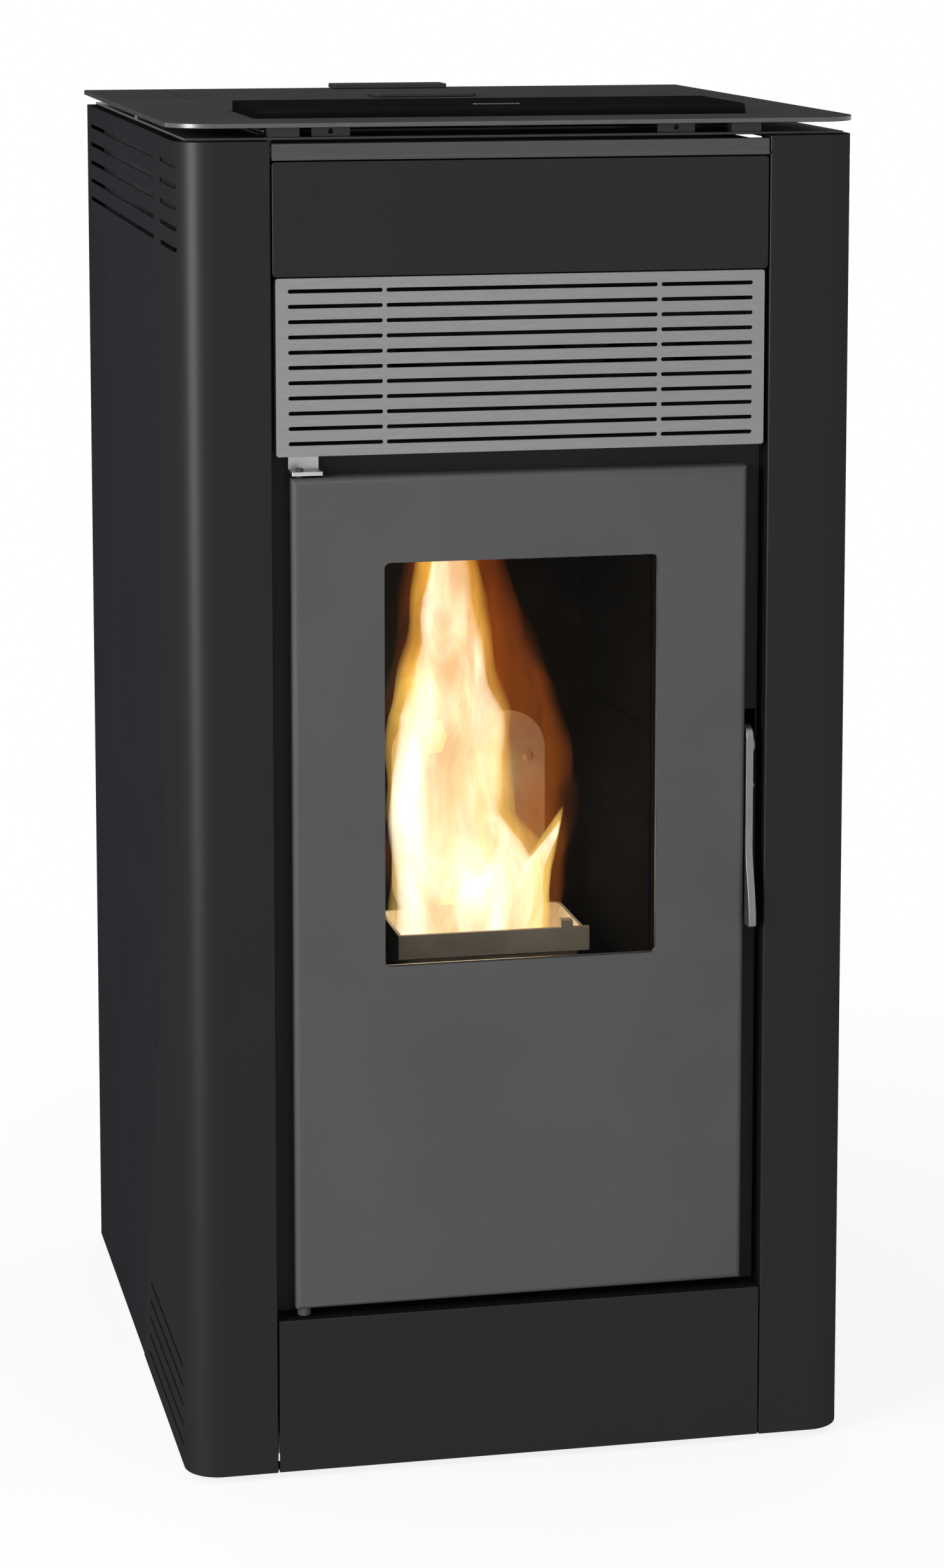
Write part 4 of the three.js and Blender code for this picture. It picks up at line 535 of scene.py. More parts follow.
COVER_BLACK = powder_paint("cover_black", (0.0045, 0.0045, 0.0047), 0.12, 300, 0.05, gloss=0.002)
GRILLE_SATIN = brushed("grille_satin", (0.185, 0.185, 0.188), 0.5, (1, 20, 60), 0.3)
TRIM_SATIN = brushed("trim_satin", (0.05, 0.05, 0.051), 0.4, (1, 30, 30), 0.5)
CUT_EDGE = brushed("cut_edge", (0.11, 0.11, 0.11), 0.35, (1, 30, 30), 0.9)
HANDLE_STEEL = brushed("handle_steel", (0.2, 0.2, 0.2), 0.36, (30, 30, 1))
PLAIN_STEEL = brushed("plain_steel", (0.5, 0.5, 0.51), 0.36)
BRIGHT_STEEL = brushed("bright_steel", (0.72, 0.72, 0.73), 0.16, (1, 10, 10), 1.0)
ZINC = galvanised("galvanised_sheet")
FIRE_STEEL = sooty("fire_steel", (0.012, 0.011, 0.0095), (0.04, 0.035, 0.029), 0.7, 0.5, (0.55, 0.8))
FIRE_CAST = sooty("burn_pot_iron", (0.74, 0.67, 0.55), (0.84, 0.78, 0.68), 0.75, 0.3)
FIRE_PLATE = sooty("fire_plate_steel", (0.5, 0.44, 0.33), (0.66, 0.6, 0.48), 0.55, 0.2)
LINING = sooty("refractory_lining", (0.004, 0.004, 0.0037), (0.009, 0.0085, 0.0075), 0.92)
CAST_GREY = casting("cast_housing", (0.075, 0.076, 0.08))
MOTOR_BLACK = casting("motor_black", (0.02, 0.02, 0.021))
GREY_PLASTIC = plastic("grey_plastic", (0.19, 0.19, 0.2))
ROPE = rope_weave("seal_rope")
GLASS = dark_glass("door_glass_tint")


# ---------------------------------------------------------------- cabinet

SHEET = 2
OVER = 1  # how far a cutting tool runs past the solid that it cuts
CASING_FOOT = 6
CASING_TOP = 1065
HALF_CABINET = 270
HALF_OPENING = 198
HALF_FRONT = 197
CORNER = 28
PANEL_END = 605.7
PANEL_GAP = 1.6
PANEL_FLANGE = 15
COLUMN_FLANGE = 26

# Seam between column and side panel, from the top down: depth and height.
SEAM_DEPTH = 121
SEAM_KNEE = 440
SEAM_FOOT = 283
SEAM = [(SEAM_DEPTH, CASING_TOP), (SEAM_DEPTH, SEAM_KNEE), (SEAM_FOOT, CASING_FOOT)]

# Cooling slots in the sides: rows of heights, then where a row begins and ends.
SLOT_HEIGHT = 3.5
SLOT_ROWS = 5
ROW_STEP = 16.25
UPPER_ROWS = [1047 - i * ROW_STEP for i in range(SLOT_ROWS)]
LOWER_ROWS = [23 + i * ROW_STEP for i in range(SLOT_ROWS)]
COLUMN_SLOTS = (18, 103)
FOOT_SLOTS = (31, 248)
FOOT_SLOT_STEP = 3.5
PANEL_SLOTS = (142, PANEL_END - 20)

# Hinge axis of the door, from the front: across and in depth.
HINGE = (-175, 12)
LEDGE_TOP = 131
LEDGE_DEPTH = 26


def side_slots(side, front, rows, ends):
    x0, x1 = sorted((side * (HALF_CABINET - CORNER), side * (HALF_CABINET + OVER)))
    return prisms("x", [long_slot(front, end, z, SLOT_HEIGHT) for z, end in zip(rows, ends)], x0, x1)


def front_column(side, node):
    """A folded column with a rounded outer corner; its rear edge slants back towards the foot."""
    corner = HALF_CABINET - CORNER
    inner = HALF_CABINET - SHEET
    hem = 1.6
    outside = arc(HALF_OPENING + hem, hem, hem, 180, 270, 5) + arc(corner, CORNER, CORNER, 270, 360, 24)
    inside = arc(corner, CORNER, CORNER - SHEET, 360, 270, 24)
    plan = outside + [(HALF_CABINET, SEAM_FOOT), (inner, SEAM_FOOT)] + inside
    plan += [(HALF_OPENING + SHEET, SHEET), (HALF_OPENING + SHEET, COLUMN_FLANGE)]
    plan += [(HALF_OPENING, COLUMN_FLANGE)]
    cap_plan = outside + [(HALF_CABINET, SEAM_DEPTH), (HALF_OPENING, SEAM_DEPTH)]
    shell = prism("z", [(x * side, y) for x, y in plan], CASING_FOOT, CASING_TOP)
    weld(shell, prism("z", [(x * side, y) for x, y in cap_plan], CASING_TOP - SHEET, CASING_TOP))
    past = SEAM_FOOT + OVER
    over_top = CASING_TOP + OVER
    behind = [(SEAM_DEPTH, over_top), SEAM[1], SEAM[2], (past, CASING_FOOT - OVER), (past, over_top)]
    beyond = HALF_CABINET + 30
    foot_ends = [FOOT_SLOTS[1] - FOOT_SLOT_STEP * i for i in range(SLOT_ROWS)]
    cut(shell, prism("x", behind, -beyond, beyond),
        side_slots(side, COLUMN_SLOTS[0], UPPER_ROWS, [COLUMN_SLOTS[1]] * SLOT_ROWS),
        side_slots(side, FOOT_SLOTS[0], LOWER_ROWS, foot_ends))
    show(shell, node + "_dress", node, COLUMN_PAINT, 0.45)


def side_panel(side, node):
    """A flat panel with a flange at the top and one at the rear."""
    outer = HALF_CABINET - 0.5
    skin_outline = [(y + PANEL_GAP, z) for y, z in SEAM] + [(PANEL_END, CASING_FOOT), (PANEL_END, CASING_TOP)]

    def across(width):
        return sorted((side * outer, side * (outer - width)))

    skin = prism("x", skin_outline, *across(SHEET))
    x0, x1 = across(PANEL_FLANGE)
    weld(skin, block(x0, x1, PANEL_END - SHEET, PANEL_END, CASING_FOOT, CASING_TOP),
         block(x0, x1, SEAM_DEPTH + PANEL_GAP, PANEL_END, CASING_TOP - SHEET, CASING_TOP))
    cut(skin, side_slots(side, PANEL_SLOTS[0], UPPER_ROWS, [PANEL_SLOTS[1]] * SLOT_ROWS))
    show(skin, node + "_dress", node, SIDE_PAINT, 0.45)


def folded_panel(x0, x1, z0, z1, front, depth, corner):
    """A face with folded edges all round, open at the back."""
    pan = prism("y", rounded(x0, x1, z0, z1, corner), front, front + depth)
    room = block(x0 + SHEET, x1 - SHEET, front + SHEET, front + depth + OVER, z0 + SHEET, z1 - SHEET)
    return cut(pan, room)


def base_front_panel():
    """The lowest front panel: a foot flange below and the ledge under the door above."""
    bend = 1.2
    foot_flange = 20
    low = CASING_FOOT
    profile = arc(bend, low + bend, bend, 180, 270, 4) + [(foot_flange, low), (foot_flange, low + SHEET)]
    profile += [(SHEET, low + SHEET), (SHEET, LEDGE_TOP - SHEET)]
    profile += [(LEDGE_DEPTH, LEDGE_TOP - SHEET), (LEDGE_DEPTH, LEDGE_TOP)]
    profile += arc(bend, LEDGE_TOP - bend, bend, 90, 180, 4)
    panel = prism("x", profile, -HALF_FRONT, HALF_FRONT)
    pin_hole = circle(*HINGE, HINGE_PIN + 0.35)
    cut(panel, prism("z", pin_hole, LEDGE_TOP - SHEET - OVER, LEDGE_TOP + OVER))
    show(panel, "base_front_panel_dress", "base_front_panel", COLUMN_PAINT, 0.3)


def air_grille():
    """Eleven rows of slots in three fields, with the ribs between the fields left standing."""
    x0, x1, y0, y1, z0, z1 = cad_box("air_grille")
    pan = folded_panel(x0, x1, z0, z1, y0, y1 - y0, 2.1)
    rows, pitch, height = 11, 11.8, 3.1
    rib, margin = 108, 185
    outer = rib + 2.8
    fields = [(-margin, -outer), (-rib, rib), (outer, margin)]
    first = (z0 + z1) / 2 - (rows // 2) * pitch
    slots = [long_slot(u0, u1, first + i * pitch, height) for i in range(rows) for u0, u1 in fields]
    cut(pan, prisms("y", slots, y0 - OVER, y0 + 10))
    show(pan, "air_grille_dress", "air_grille", GRILLE_SATIN, 0.3)


def trim_bar():
    """A hollow bar above the upper panel, with a small nose along its lower edge."""
    low, high = cad_box("trim_bar")[4:]
    depth, bend, nose = 14, 0.8, 0.6
    profile = arc(bend, high - bend, bend, 90, 180, 4) + [(0, low + 3.2), (-1, low + 2.2)]
    profile += arc(nose - 1, low + nose, nose, 180, 270, 4) + [(depth, low), (depth, low + SHEET)]
    profile += [(SHEET, low + SHEET), (SHEET, high - SHEET), (depth, high - SHEET), (depth, high)]
    show(prism("x", profile, -HALF_FRONT, HALF_FRONT), "trim_bar_dress", "trim_bar", TRIM_SATIN, 0.25)


def upper_front_panel():
    x0, x1, y0, y1, z0, z1 = cad_box("upper_front_panel")
    pan = folded_panel(x0, x1, z0, z1, y0, y1 - y0, 3)
    show(pan, "upper_front_panel_dress", "upper_front_panel", GLOSS_BLACK, 0.9, 3)


def back_panel():
    """Zinc sheet with its openings, the louvres of the room fan and a row of screws all round."""
    x0, x1, y0, y1, z0, z1 = cad_box("back_panel")
    sheet = block(x0, x1, y0, y1, z0, z1)
    flue_hole = circle(-62, 190, 43)
    intake_hole = circle(-45, 320, 28)
    inlet_hole = rectangle(-219, -191, 92, 148)
    louvre, louvre_height, louvre_low, louvre_step = 56, 6, 280, 20
    louvres = [long_slot(x, x + louvre, louvre_low + louvre_step * row, louvre_height)
               for row in range(6) for x in (90, 160)]
    cut(sheet, prisms("y", [flue_hole, intake_hole, inlet_hole] + louvres, y0 - OVER, y1 + OVER))
    show(sheet, "back_panel_dress", "back_panel", ZINC, 0.3)
    per_side, from_end, from_side = 6, 14, 9
    run = z1 - z0 - 2 * from_end
    places = [(x, z0 + from_end + i * run / (per_side - 1))
              for x in (x0 + from_side, x1 - from_side) for i in range(per_side)]
    places += [(x, z) for x in (-130, 0, 130) for z in (z0 + 10, z1 - 10)]
    for i, (x, z) in enumerate(places):
        screw(f"back_screw_{i + 1}", x, y1, z)


def screw(name, x, y, z):
    """A pan-head screw with a cross recess, on the back panel."""
    head, shank, rim, crown = 4, 2, 0.8, 1.3
    profile = [(0, y - OVER), (shank, y - OVER), (shank, y), (head, y), (head, y + rim)]
    profile += [(head - 2.2 * i / 5, y + rim + crown * math.sin(math.pi * i / 10)) for i in range(1, 6)]
    profile += [(0, y + rim + crown)]
    solid = turned("y", (x, z), profile, 24)
    turn = math.radians(17 * (x + z) % 90)
    arms = []
    for angle in (turn, turn + math.pi / 2):
        along = (math.cos(angle) * 2, math.sin(angle) * 2)
        side = (-along[1] * 0.2, along[0] * 0.2)
        arms.append([(x + a * along[0] + b * side[0], z + a * along[1] + b * side[1])
                     for a, b in ((-1, -1), (1, -1), (1, 1), (-1, 1))])
    for arm in arms:
        cut(solid, prism("y", arm, y + 1, y + 3))
    show(solid, name, "back_panel", PLAIN_STEEL, 0, replaces=False)


# ---------------------------------------------------------------- top

def edge_faces(obj, material, holds):
    """Gives a second finish to the faces whose normal and middle a test accepts."""
    obj.data.materials.append(material)
    for polygon in obj.data.polygons:
        if holds(polygon.normal, polygon.center / MM):
            polygon.material_index = 1


def top_plate():
    """The plate with its two openings; its cut front edge is left bright."""
    x0, x1, y0, y1, z0, z1 = cad_box("top_plate")
    lid, cover = cad_box("hopper_lid"), cad_box("control_cover")
    lid_gap, cover_gap = 1.5, 2
    front_corner, rear_corner = 38, 4
    outline = rounded(x0, x1, y0, y1, front_corner, rear_corner, 20)
    plate = prism("z", outline, z0, z1)

    def around(box, gap):
        return box[0] - gap, box[1] + gap, box[2] - gap, box[3] + gap

    lid_hole = rounded(*around(lid, lid_gap), 3.5)
    cover_hole = rectangle(*around(cover, cover_gap))
    cut(plate, prisms("z", [lid_hole, cover_hole], z0 - OVER, z1 + OVER))
    show(plate, "top_plate_dress", "top_plate", TOP_PAINT, 0.5)

    def on_front_edge(normal, middle):
        return abs(normal.z) < 0.3 and normal.y < -0.2 and middle.y - FRONT_PLANE < 50

    edge_faces(plate, CUT_EDGE, on_front_edge)


def hopper_lid():
    """The leaf with its sealing rib below, the grip slab on it and the hood over its hinge."""
    x0, x1, y0, y1, z0, z1 = cad_box("hopper_lid")
    under = z1 - 4
    side, front, rear, rib_width = 11, 1, 3, 12
    leaf = prism("z", rounded(x0, x1, y0, y1, 3), under, z1)
    rib = block(x0 + side, x1 - side, y0 + front, y1 - rear, z0, under + OVER)
    inset = side + rib_width
    v0, v1 = y0 + front + rib_width, y1 - rear - rib_width
    cut(rib, block(x0 + inset, x1 - inset, v0, v1, z0 - OVER, under + 0.5))
    show(weld(leaf, rib), "hopper_lid_dress", "hopper_lid", LID_PAINT, 0.6)
    for node, corner in (("lid_grip", 4), ("lid_hinge_cover", 2)):
        x0, x1, y0, y1, z0, z1 = cad_box(node)
        show(prism("z", rounded(x0, x1, y0, y1, corner), z0, z1), node + "_dress", node, LID_PAINT, 0.8, 3)


def control_cover():
    """A hollow cover with a rounded front edge and a finger slot, and the ring set into the slot."""
    x0, x1, y0, y1, z0, z1 = cad_box("control_cover")
    u0, u1, v0, v1, low, high = cad_box("cover_grip_insert")
    wall, bend = 2.5, 5
    play, slot_corner, ring_wall = 0.3, 2, 1.5

    def section(inset, drop):
        front = arc(y0 + bend, z1 - bend, bend - inset, 180, 90, 12)
        return [(y0 + inset, z0 - drop)] + front + [(y1 - inset, z1 - inset), (y1 - inset, z0 - drop)]

    shell = prism("x", section(0, 0), x0, x1)
    finger = rounded(u0 - play, u1 + play, v0 - play, v1 + play, slot_corner)
    cut(shell, prism("x", section(wall, OVER), x0 + wall, x1 - wall), prism("z", finger, z0, z1 + OVER))
    show(shell, "control_cover_dress", "control_cover", COVER_BLACK, 0.6, 3)
    ring = prism("z", rounded(u0, u1, v0, v1, slot_corner), low, high)
    bore = rounded(u0 + ring_wall, u1 - ring_wall, v0 + ring_wall, v1 - ring_wall, 1.2)
    cut(ring, prism("z", bore, low - OVER, high + OVER))
    show(ring, "cover_grip_insert_dress", "cover_grip_insert", TRIM_SATIN, 0.15)


# ---------------------------------------------------------------- door

DOOR_LOW = 138.5
DOOR_HIGH = 804.5
DOOR_SKIN = 3
BACKING = (11, 13)
HALF_WINDOW = 110
WINDOW_LOW = 414
WINDOW_HIGH = 736.5
GLASS_ROOM = 15
HINGE_PIN = 3
HINGE_COLLAR = 5.5

# Handle lever: its pin, in depth and in height, and its bar.
LEVER_PIN = (12, 578)
LEVER_PIN_RADIUS = 4
LEVER_WIDTH = 6
LEVER_FRONT = 2
LEVER_BACK = 22


def door_frame():
    """The leaf: a skin with a backing plate inside its rim, the window opening and the hinge pins."""
    x0, x1, y0, y1 = cad_box("door_frame")[:4]
    z0, z1 = DOOR_LOW, DOOR_HIGH
    r, s, skin = 5, 3, DOOR_SKIN
    plan = (arc(x0 + r, y0 + r, r, 180, 270, 12) + arc(x1 - r, y0 + r, r, 270, 360, 12)
            + arc(x1 - s, y1 - s, s, 0, 90, 6) + arc(x0 + s, y1 - s, s, 90, 180, 6))
    leaf = prism("z", plan, z0, z1)
    side = (arc(y0 + r, z0 + r, r, 270, 180, 12) + arc(y0 + r, z1 - r, r, 180, 90, 12)
            + [(y1, z1), (y1, z0)])
    combine(leaf, [prism("x", side, x0 - OVER, x1 + OVER)], "INTERSECT")
    left, right, low, high = x0 + skin, x1 - skin, z0 + skin, z1 - skin
    window = rounded(-HALF_WINDOW, HALF_WINDOW, WINDOW_LOW, WINDOW_HIGH, 5, steps=12)
    half_room = HALF_WINDOW + GLASS_ROOM
    glass_room = rounded(-half_room, half_room, WINDOW_LOW - GLASS_ROOM, WINDOW_HIGH + GLASS_ROOM, 4)
    cut(leaf,
        block(left, right, y0 + BACKING[1], y1 + OVER, low, high),
        block(left, right, y0 + skin, y0 + BACKING[0], low, high),
        prism("y", window, y0 - OVER, y1 + OVER),
        prism("y", glass_room, y0 + skin, y0 + BACKING[1] + OVER),
        prism("x", circle(*LEVER_PIN, LEVER_PIN_RADIUS + 0.35), right - OVER, x1 + OVER))
    weld(leaf,
         prism("z", circle(*HINGE, HINGE_PIN, 32), LEDGE_TOP - 8, low + OVER),
         prism("z", circle(*HINGE, HINGE_COLLAR, 32), LEDGE_TOP + 1, z0 + OVER),
         prism("z", circle(*HINGE, HINGE_PIN, 32), high - OVER, z1 + 7))
    show(leaf, "door_frame_dress", "door_frame", DOOR_PAINT, 0.35)


def door_handle():
    """Flat bar with a nose that reaches behind the plate; its lower end is kicked out towards the hand."""
    pin_reach = 3.7
    x0 = cad_box("door_handle")[0] + pin_reach
    x1 = x0 + LEVER_WIDTH
    front, back = LEVER_FRONT, LEVER_BACK
    nose_end, nose_low = 35.3, 552
    lower = [(back - 4, 495), (back - 4.6, 482), (back - 6, 473), (back - 9, 457), (back - 13.5, 438)]
    lower += arc(back - 16.8, 436.2, 3.2, 20, -90, 6) + arc(front - 9, 436, 3, 270, 180, 6)
    lower += [(front - 11.6, 444), (front - 7.5, 464), (front - 2.6, 481), (front - 0.6, 491), (front, 500)]
    profile = [(back, nose_low + 8), (nose_end - 4, nose_low + 6), (nose_end, nose_low + 2)]
    profile += [(nose_end, nose_low), (back, nose_low)] + arc(back, nose_low - 4, 4, 90, 180, 5) + lower
    profile += [(front, 584)] + arc(front + 10, 584, 10, 180, 90, 12)
    profile += [(back - 6, 594), (back - 5, 587), (back, 586)]
    bar = prism("x", profile, x0, x1)
    pin = prism("x", circle(*LEVER_PIN, LEVER_PIN_RADIUS, 32), x0 - pin_reach, x0 + 1)
    washer = prism("x", circle(*LEVER_PIN, 7, 40), x1 - 1, x1 + 2)
    weld(bar, pin, washer)
    show(bar, "door_handle_dress", "door_handle", HANDLE_STEEL, 0.6, 3)


def door_glass():
    x0, x1, y0, y1, z0, z1 = cad_box("door_glass")
    pane = prism("y", rounded(x0, x1, z0, z1, 3), y0, y1)
    show(pane, "door_glass_dress", "door_glass", GLASS, 0.4)


def door_seal():
    x0, x1, y0, y1, z0, z1 = cad_box("door_seal")
    width = 10
    ring = prism("y", rounded(x0, x1, z0, z1, 14, steps=12), y0, y1)
    bore = rounded(x0 + width, x1 - width, z0 + width, z1 - width, 6, steps=10)
    cut(ring, prism("y", bore, y0 - OVER, y1 + OVER))
    show(ring, "door_seal_dress", "door_seal", ROPE, 2.2, 4)


# ---------------------------------------------------------------- fire space

def fire_back_plate():
    """The rounded plate behind the flame with the pellet opening and five domed socket screws."""
    x0, x1, _, y1, z0, z1 = cad_box("fire_back_plate")
    face = y1 - 3
    plate = prism("y", rounded(x0, x1, z0, z1, 33, steps=20), face, y1)
    cut(plate, prism("y", rounded(-27, 27, 409, 495, 1.5), face - OVER, y1 + OVER))
    show(plate, "fire_back_plate_dress", "fire_back_plate", FIRE_PLATE, 0.5)
    radius, rise, socket = 4.5, 2.7, 1.8
    middle = (z0 + z1) / 2
    places = [(0, z1 - 12)] + [(x, middle + dz) for x in (x0 + 15, x1 - 15) for dz in (48, -60)]
    for i, (x, z) in enumerate(places):
        dome = [(0, face + 0.5), (radius, face + 0.5)]
        for angle in (math.radians(15 * k) for k in range(6)):
            dome.append((radius * math.cos(angle), face - rise * math.sin(angle)))
        head = turned("y", (x, z), dome + [(0, face - rise)], 32)
        cut(head, prism("y", circle(x, z, socket, 6), face - 4, face - 1.2))
        show(head, f"fire_plate_screw_{i + 1}", "fire_back_plate", FIRE_PLATE, 0, replaces=False)


POT_RIM = (-78, 78, 108, 203)
POT_FLOOR = (-64, 64, 118, 193)
POT_TOP = 408
POT_LOW = 350
POT_WALL = 3


def burn_pot():
    """A tapered tub with a bar and a tab in front, air holes in its floor and the igniter's hole behind."""
    x0, x1, y0 = cad_box("burn_pot")[:3]
    front, back = POT_RIM[2:]

    def tub(inset, rise):
        form = bmesh.new()
        rings = []
        for (u0, u1, v0, v1), z in ((POT_FLOOR, POT_LOW + inset), (POT_RIM, POT_TOP + rise)):
            outline = rounded(u0 + inset, u1 - inset, v0 + inset, v1 - inset, 5, steps=5)
            rings.append([form.verts.new(at(x, y, z)) for x, y in outline])
        form.faces.new(rings[0][::-1])
        form.faces.new(rings[1])
        for i in range(len(rings[0])):
            k = (i + 1) % len(rings[0])
            form.faces.new((rings[0][i], rings[0][k], rings[1][k], rings[1][i]))
        return link("tub", form)

    pot = cut(tub(0, 0), tub(POT_WALL, 0.01))
    bar = block(x0, x1, y0, front + 1, 391, 411)
    tab = block(56, 66, y0, front + 6, 404, 417)
    weld(pot, bar, tab)
    across, along, air_hole = 22, 18, 2.6
    middle = (front + back) / 2
    holes = [circle(i * across, middle + k * along, air_hole, 20) for i in range(-2, 3) for k in range(-1, 2)]
    igniter_hole = prism("y", circle(0, 366, 6, 32), back - 12, back + OVER)
    cut(pot, prisms("z", holes, POT_LOW - OVER, POT_LOW + POT_WALL + OVER), igniter_hole)
    show(pot, "burn_pot_dress", "burn_pot", FIRE_CAST, 0.5)


for side, word in ((-1, "left"), (1, "right")):
    front_column(side, f"{word}_front_column")
    side_panel(side, f"{word}_side_panel")
base_front_panel()
upper_front_panel()
air_grille()
trim_bar()
back_panel()
top_plate()
hopper_lid()
control_cover()
door_frame()
door_handle()
door_glass()
door_seal()
fire_back_plate()
burn_pot()


# ---------------------------------------------------------------- fire

FIRE_DEPTH = 155
FIRE_BED = 355

# Heights between which the light of the fire turns from its low colour to its high one.
GLOW_REACH = (380, 720)


def glow(name, low, high, strength, thin, thick):
    """Fire: light that is hot below and cooler above, in streaks that let some of the view through."""
    material = bpy.data.materials.new(name)
    material.use_nodes = True
    nodes, links = material.node_tree.nodes, material.node_tree.links
    nodes.remove(nodes["Principled BSDF"])
    place = nodes.new("ShaderNodeTexCoord")
    mapping = nodes.new("ShaderNodeMapping")
    mapping.inputs["Scale"].default_value = (34, 34, 9)
    streaks = nodes.new("ShaderNodeTexNoise")
    streaks.inputs["Scale"].default_value = 1
    streaks.inputs["Detail"].default_value = 4
    streaks.inputs["Distortion"].default_value = 0.6
    links.new(place.outputs["Object"], mapping.inputs["Vector"])
    links.new(mapping.outputs["Vector"], streaks.inputs["Vector"])
    share = nodes.new("ShaderNodeMapRange")
    for socket, value in (("From Min", 0.35), ("From Max", 0.65), ("To Min", thin), ("To Max", thick)):
        share.inputs[socket].default_value = value
    links.new(streaks.outputs["Fac"], share.inputs["Value"])
    soft = nodes.new("ShaderNodeAttribute")
    soft.attribute_name = "soft"
    veil = nodes.new("ShaderNodeMath")
    veil.operation = "MULTIPLY"
    links.new(share.outputs["Result"], veil.inputs[0])
    links.new(soft.outputs["Fac"], veil.inputs[1])
    split = nodes.new("ShaderNodeSeparateXYZ")
    links.new(place.outputs["Object"], split.inputs["Vector"])
    rise = nodes.new("ShaderNodeMapRange")
    for socket, height in zip(("From Min", "From Max"), GLOW_REACH):
        rise.inputs[socket].default_value = height * MM
    links.new(split.outputs["Z"], rise.inputs["Value"])
    color = nodes.new("ShaderNodeMix")
    color.data_type = "RGBA"
    color.inputs[6].default_value = (*low, 1)
    color.inputs[7].default_value = (*high, 1)
    links.new(rise.outputs["Result"], color.inputs[0])
    light = nodes.new("ShaderNodeEmission")
    light.inputs["Strength"].default_value = strength
    links.new(color.outputs[2], light.inputs["Color"])
    clear = nodes.new("ShaderNodeBsdfTransparent")
    mix = nodes.new("ShaderNodeMixShader")
    links.new(veil.outputs[0], mix.inputs["Fac"])
    links.new(clear.outputs[0], mix.inputs[1])
    links.new(light.outputs[0], mix.inputs[2])
    links.new(mix.outputs[0], nodes["Material Output"].inputs["Surface"])
    return material


FRINGE = glow("flame_fringe", (0.85, 0.24, 0.03), (0.5, 0.09, 0.01), 1.0, 0.08, 0.5)
BODY = glow("flame_body", (1.0, 0.74, 0.2), (1.0, 0.5, 0.06), 2.6, 0.35, 0.75)
CORE = glow("flame_core", (1.0, 0.97, 0.88), (1.0, 0.95, 0.8), 4.5, 0.6, 0.85)
EMBER = glow("ember", (1.0, 0.24, 0.03), (1.0, 0.2, 0.02), 2.2, 1.0, 1.0)

# Each row: height, centre from the left to the right, half width, half depth.
FLAME_FRINGE = [
    (FIRE_BED + 4, -10, 52, 32), (385, -8, 64, 36), (413, -8, 70, 38), (450, -3, 77, 38),
    (475, 0, 80, 38), (499, 0, 80, 36), (535, -2, 79, 34), (583, -5, 75, 32),
    (607, -9, 69, 30), (643, -14, 60, 27), (679, -20, 50, 24), (713, -24, 42, 20),
    (724, -25, 38, 18), (732, -26, 8, 4),
]
FLAME_BODY = [
    (FIRE_BED + 4, -10, 46, 28), (385, -11, 60, 32), (413, -12, 65, 33), (450, -9, 68, 33),
    (475, -14, 63, 32), (499, -26, 54, 30), (535, -27, 53, 28), (583, -28, 52, 26),
    (607, -29, 45, 24), (643, -28, 36, 21), (679, -28, 32, 18), (713, -31, 26, 15),
    (723, -30, 23, 13), (731, -29, 5, 3),
]
FLAME_CORE = [
    (FIRE_BED + 5, -12, 42, 22), (385, -14, 56, 26), (413, -14, 61, 27), (450, -14, 61, 26),
    (475, -20, 55, 25), (499, -29, 47, 23), (535, -29, 46, 21), (583, -28, 44, 19),
    (607, -26, 33, 17), (643, -24, 26, 14), (679, -29, 21, 12), (713, -29, 15, 10),
    (722, -28, 13, 8), (729, -28, 3, 2),
]
TONGUE_BODY = [
    (FIRE_BED + 6, 26, 16, 16), (385, 34, 20, 17), (413, 38, 19, 16), (432, 40, 17, 14),
    (450, 44, 14, 12), (464, 52, 10, 9), (476, 58.5, 7, 7), (488, 65, 4, 4),
    (501, 70.5, 0.8, 0.8),
]
TONGUE_CORE = [
    (FIRE_BED + 7, 26, 12, 11), (385, 34, 16, 12), (413, 38, 15, 12), (432, 41, 13, 10),
    (450, 45, 10, 8), (464, 52.5, 6.5, 6), (476, 59, 4, 4), (490, 65.5, 0.6, 0.6),
]


def lick(name, rows, material, seed):
    """A closed flame of rings whose outline flickers a little."""
    rng = random.Random(seed)
    phases = [rng.uniform(0, 2 * math.pi) for _ in range(4)]
    form = bmesh.new()
    soft = form.verts.layers.float.new("soft")
    rings = []
    around = 28
    between = 4
    count = (len(rows) - 1) * between + 1
    for k in range(count):
        row, part = divmod(k, between)
        first = rows[row]
        after = rows[min(row + 1, len(rows) - 1)]
        z, centre, half, deep = (a + (b - a) * part / between for a, b in zip(first, after))
        sway = 1.4 * math.sin(z / 23 + phases[0]) + 0.6 * math.sin(z / 9 + phases[1])
        ring = []
        for i in range(around):
            angle = 2 * math.pi * i / around
            ripple = (1 + 0.04 * math.sin(3 * angle + z / 21 + phases[2])
                      + 0.02 * math.sin(5 * angle - z / 11 + phases[3]))
            x = centre + sway + half * ripple * math.cos(angle)
            y = FIRE_DEPTH + deep * ripple * math.sin(angle)
            vert = form.verts.new(at(x, y, z))
            vert[soft] = min(1, 1.6 * math.sin(angle) ** 2) * min(1, (count - 1 - k) / between)
            ring.append(vert)
        rings.append(ring)
    form.faces.new(rings[0][::-1])
    form.faces.new(rings[-1])
    for ring, after in zip(rings, rings[1:]):
        for i in range(around):
            k = (i + 1) % around
            form.faces.new((ring[i], ring[k], after[k], after[i]))
    flame = link("lick", form)
    flame.name = flame.data.name = name
    flame.data.materials.append(material)
    flame.data.polygons.foreach_set("use_smooth", [True] * len(flame.data.polygons))
    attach(flame, BODY_OF["burn_pot"])


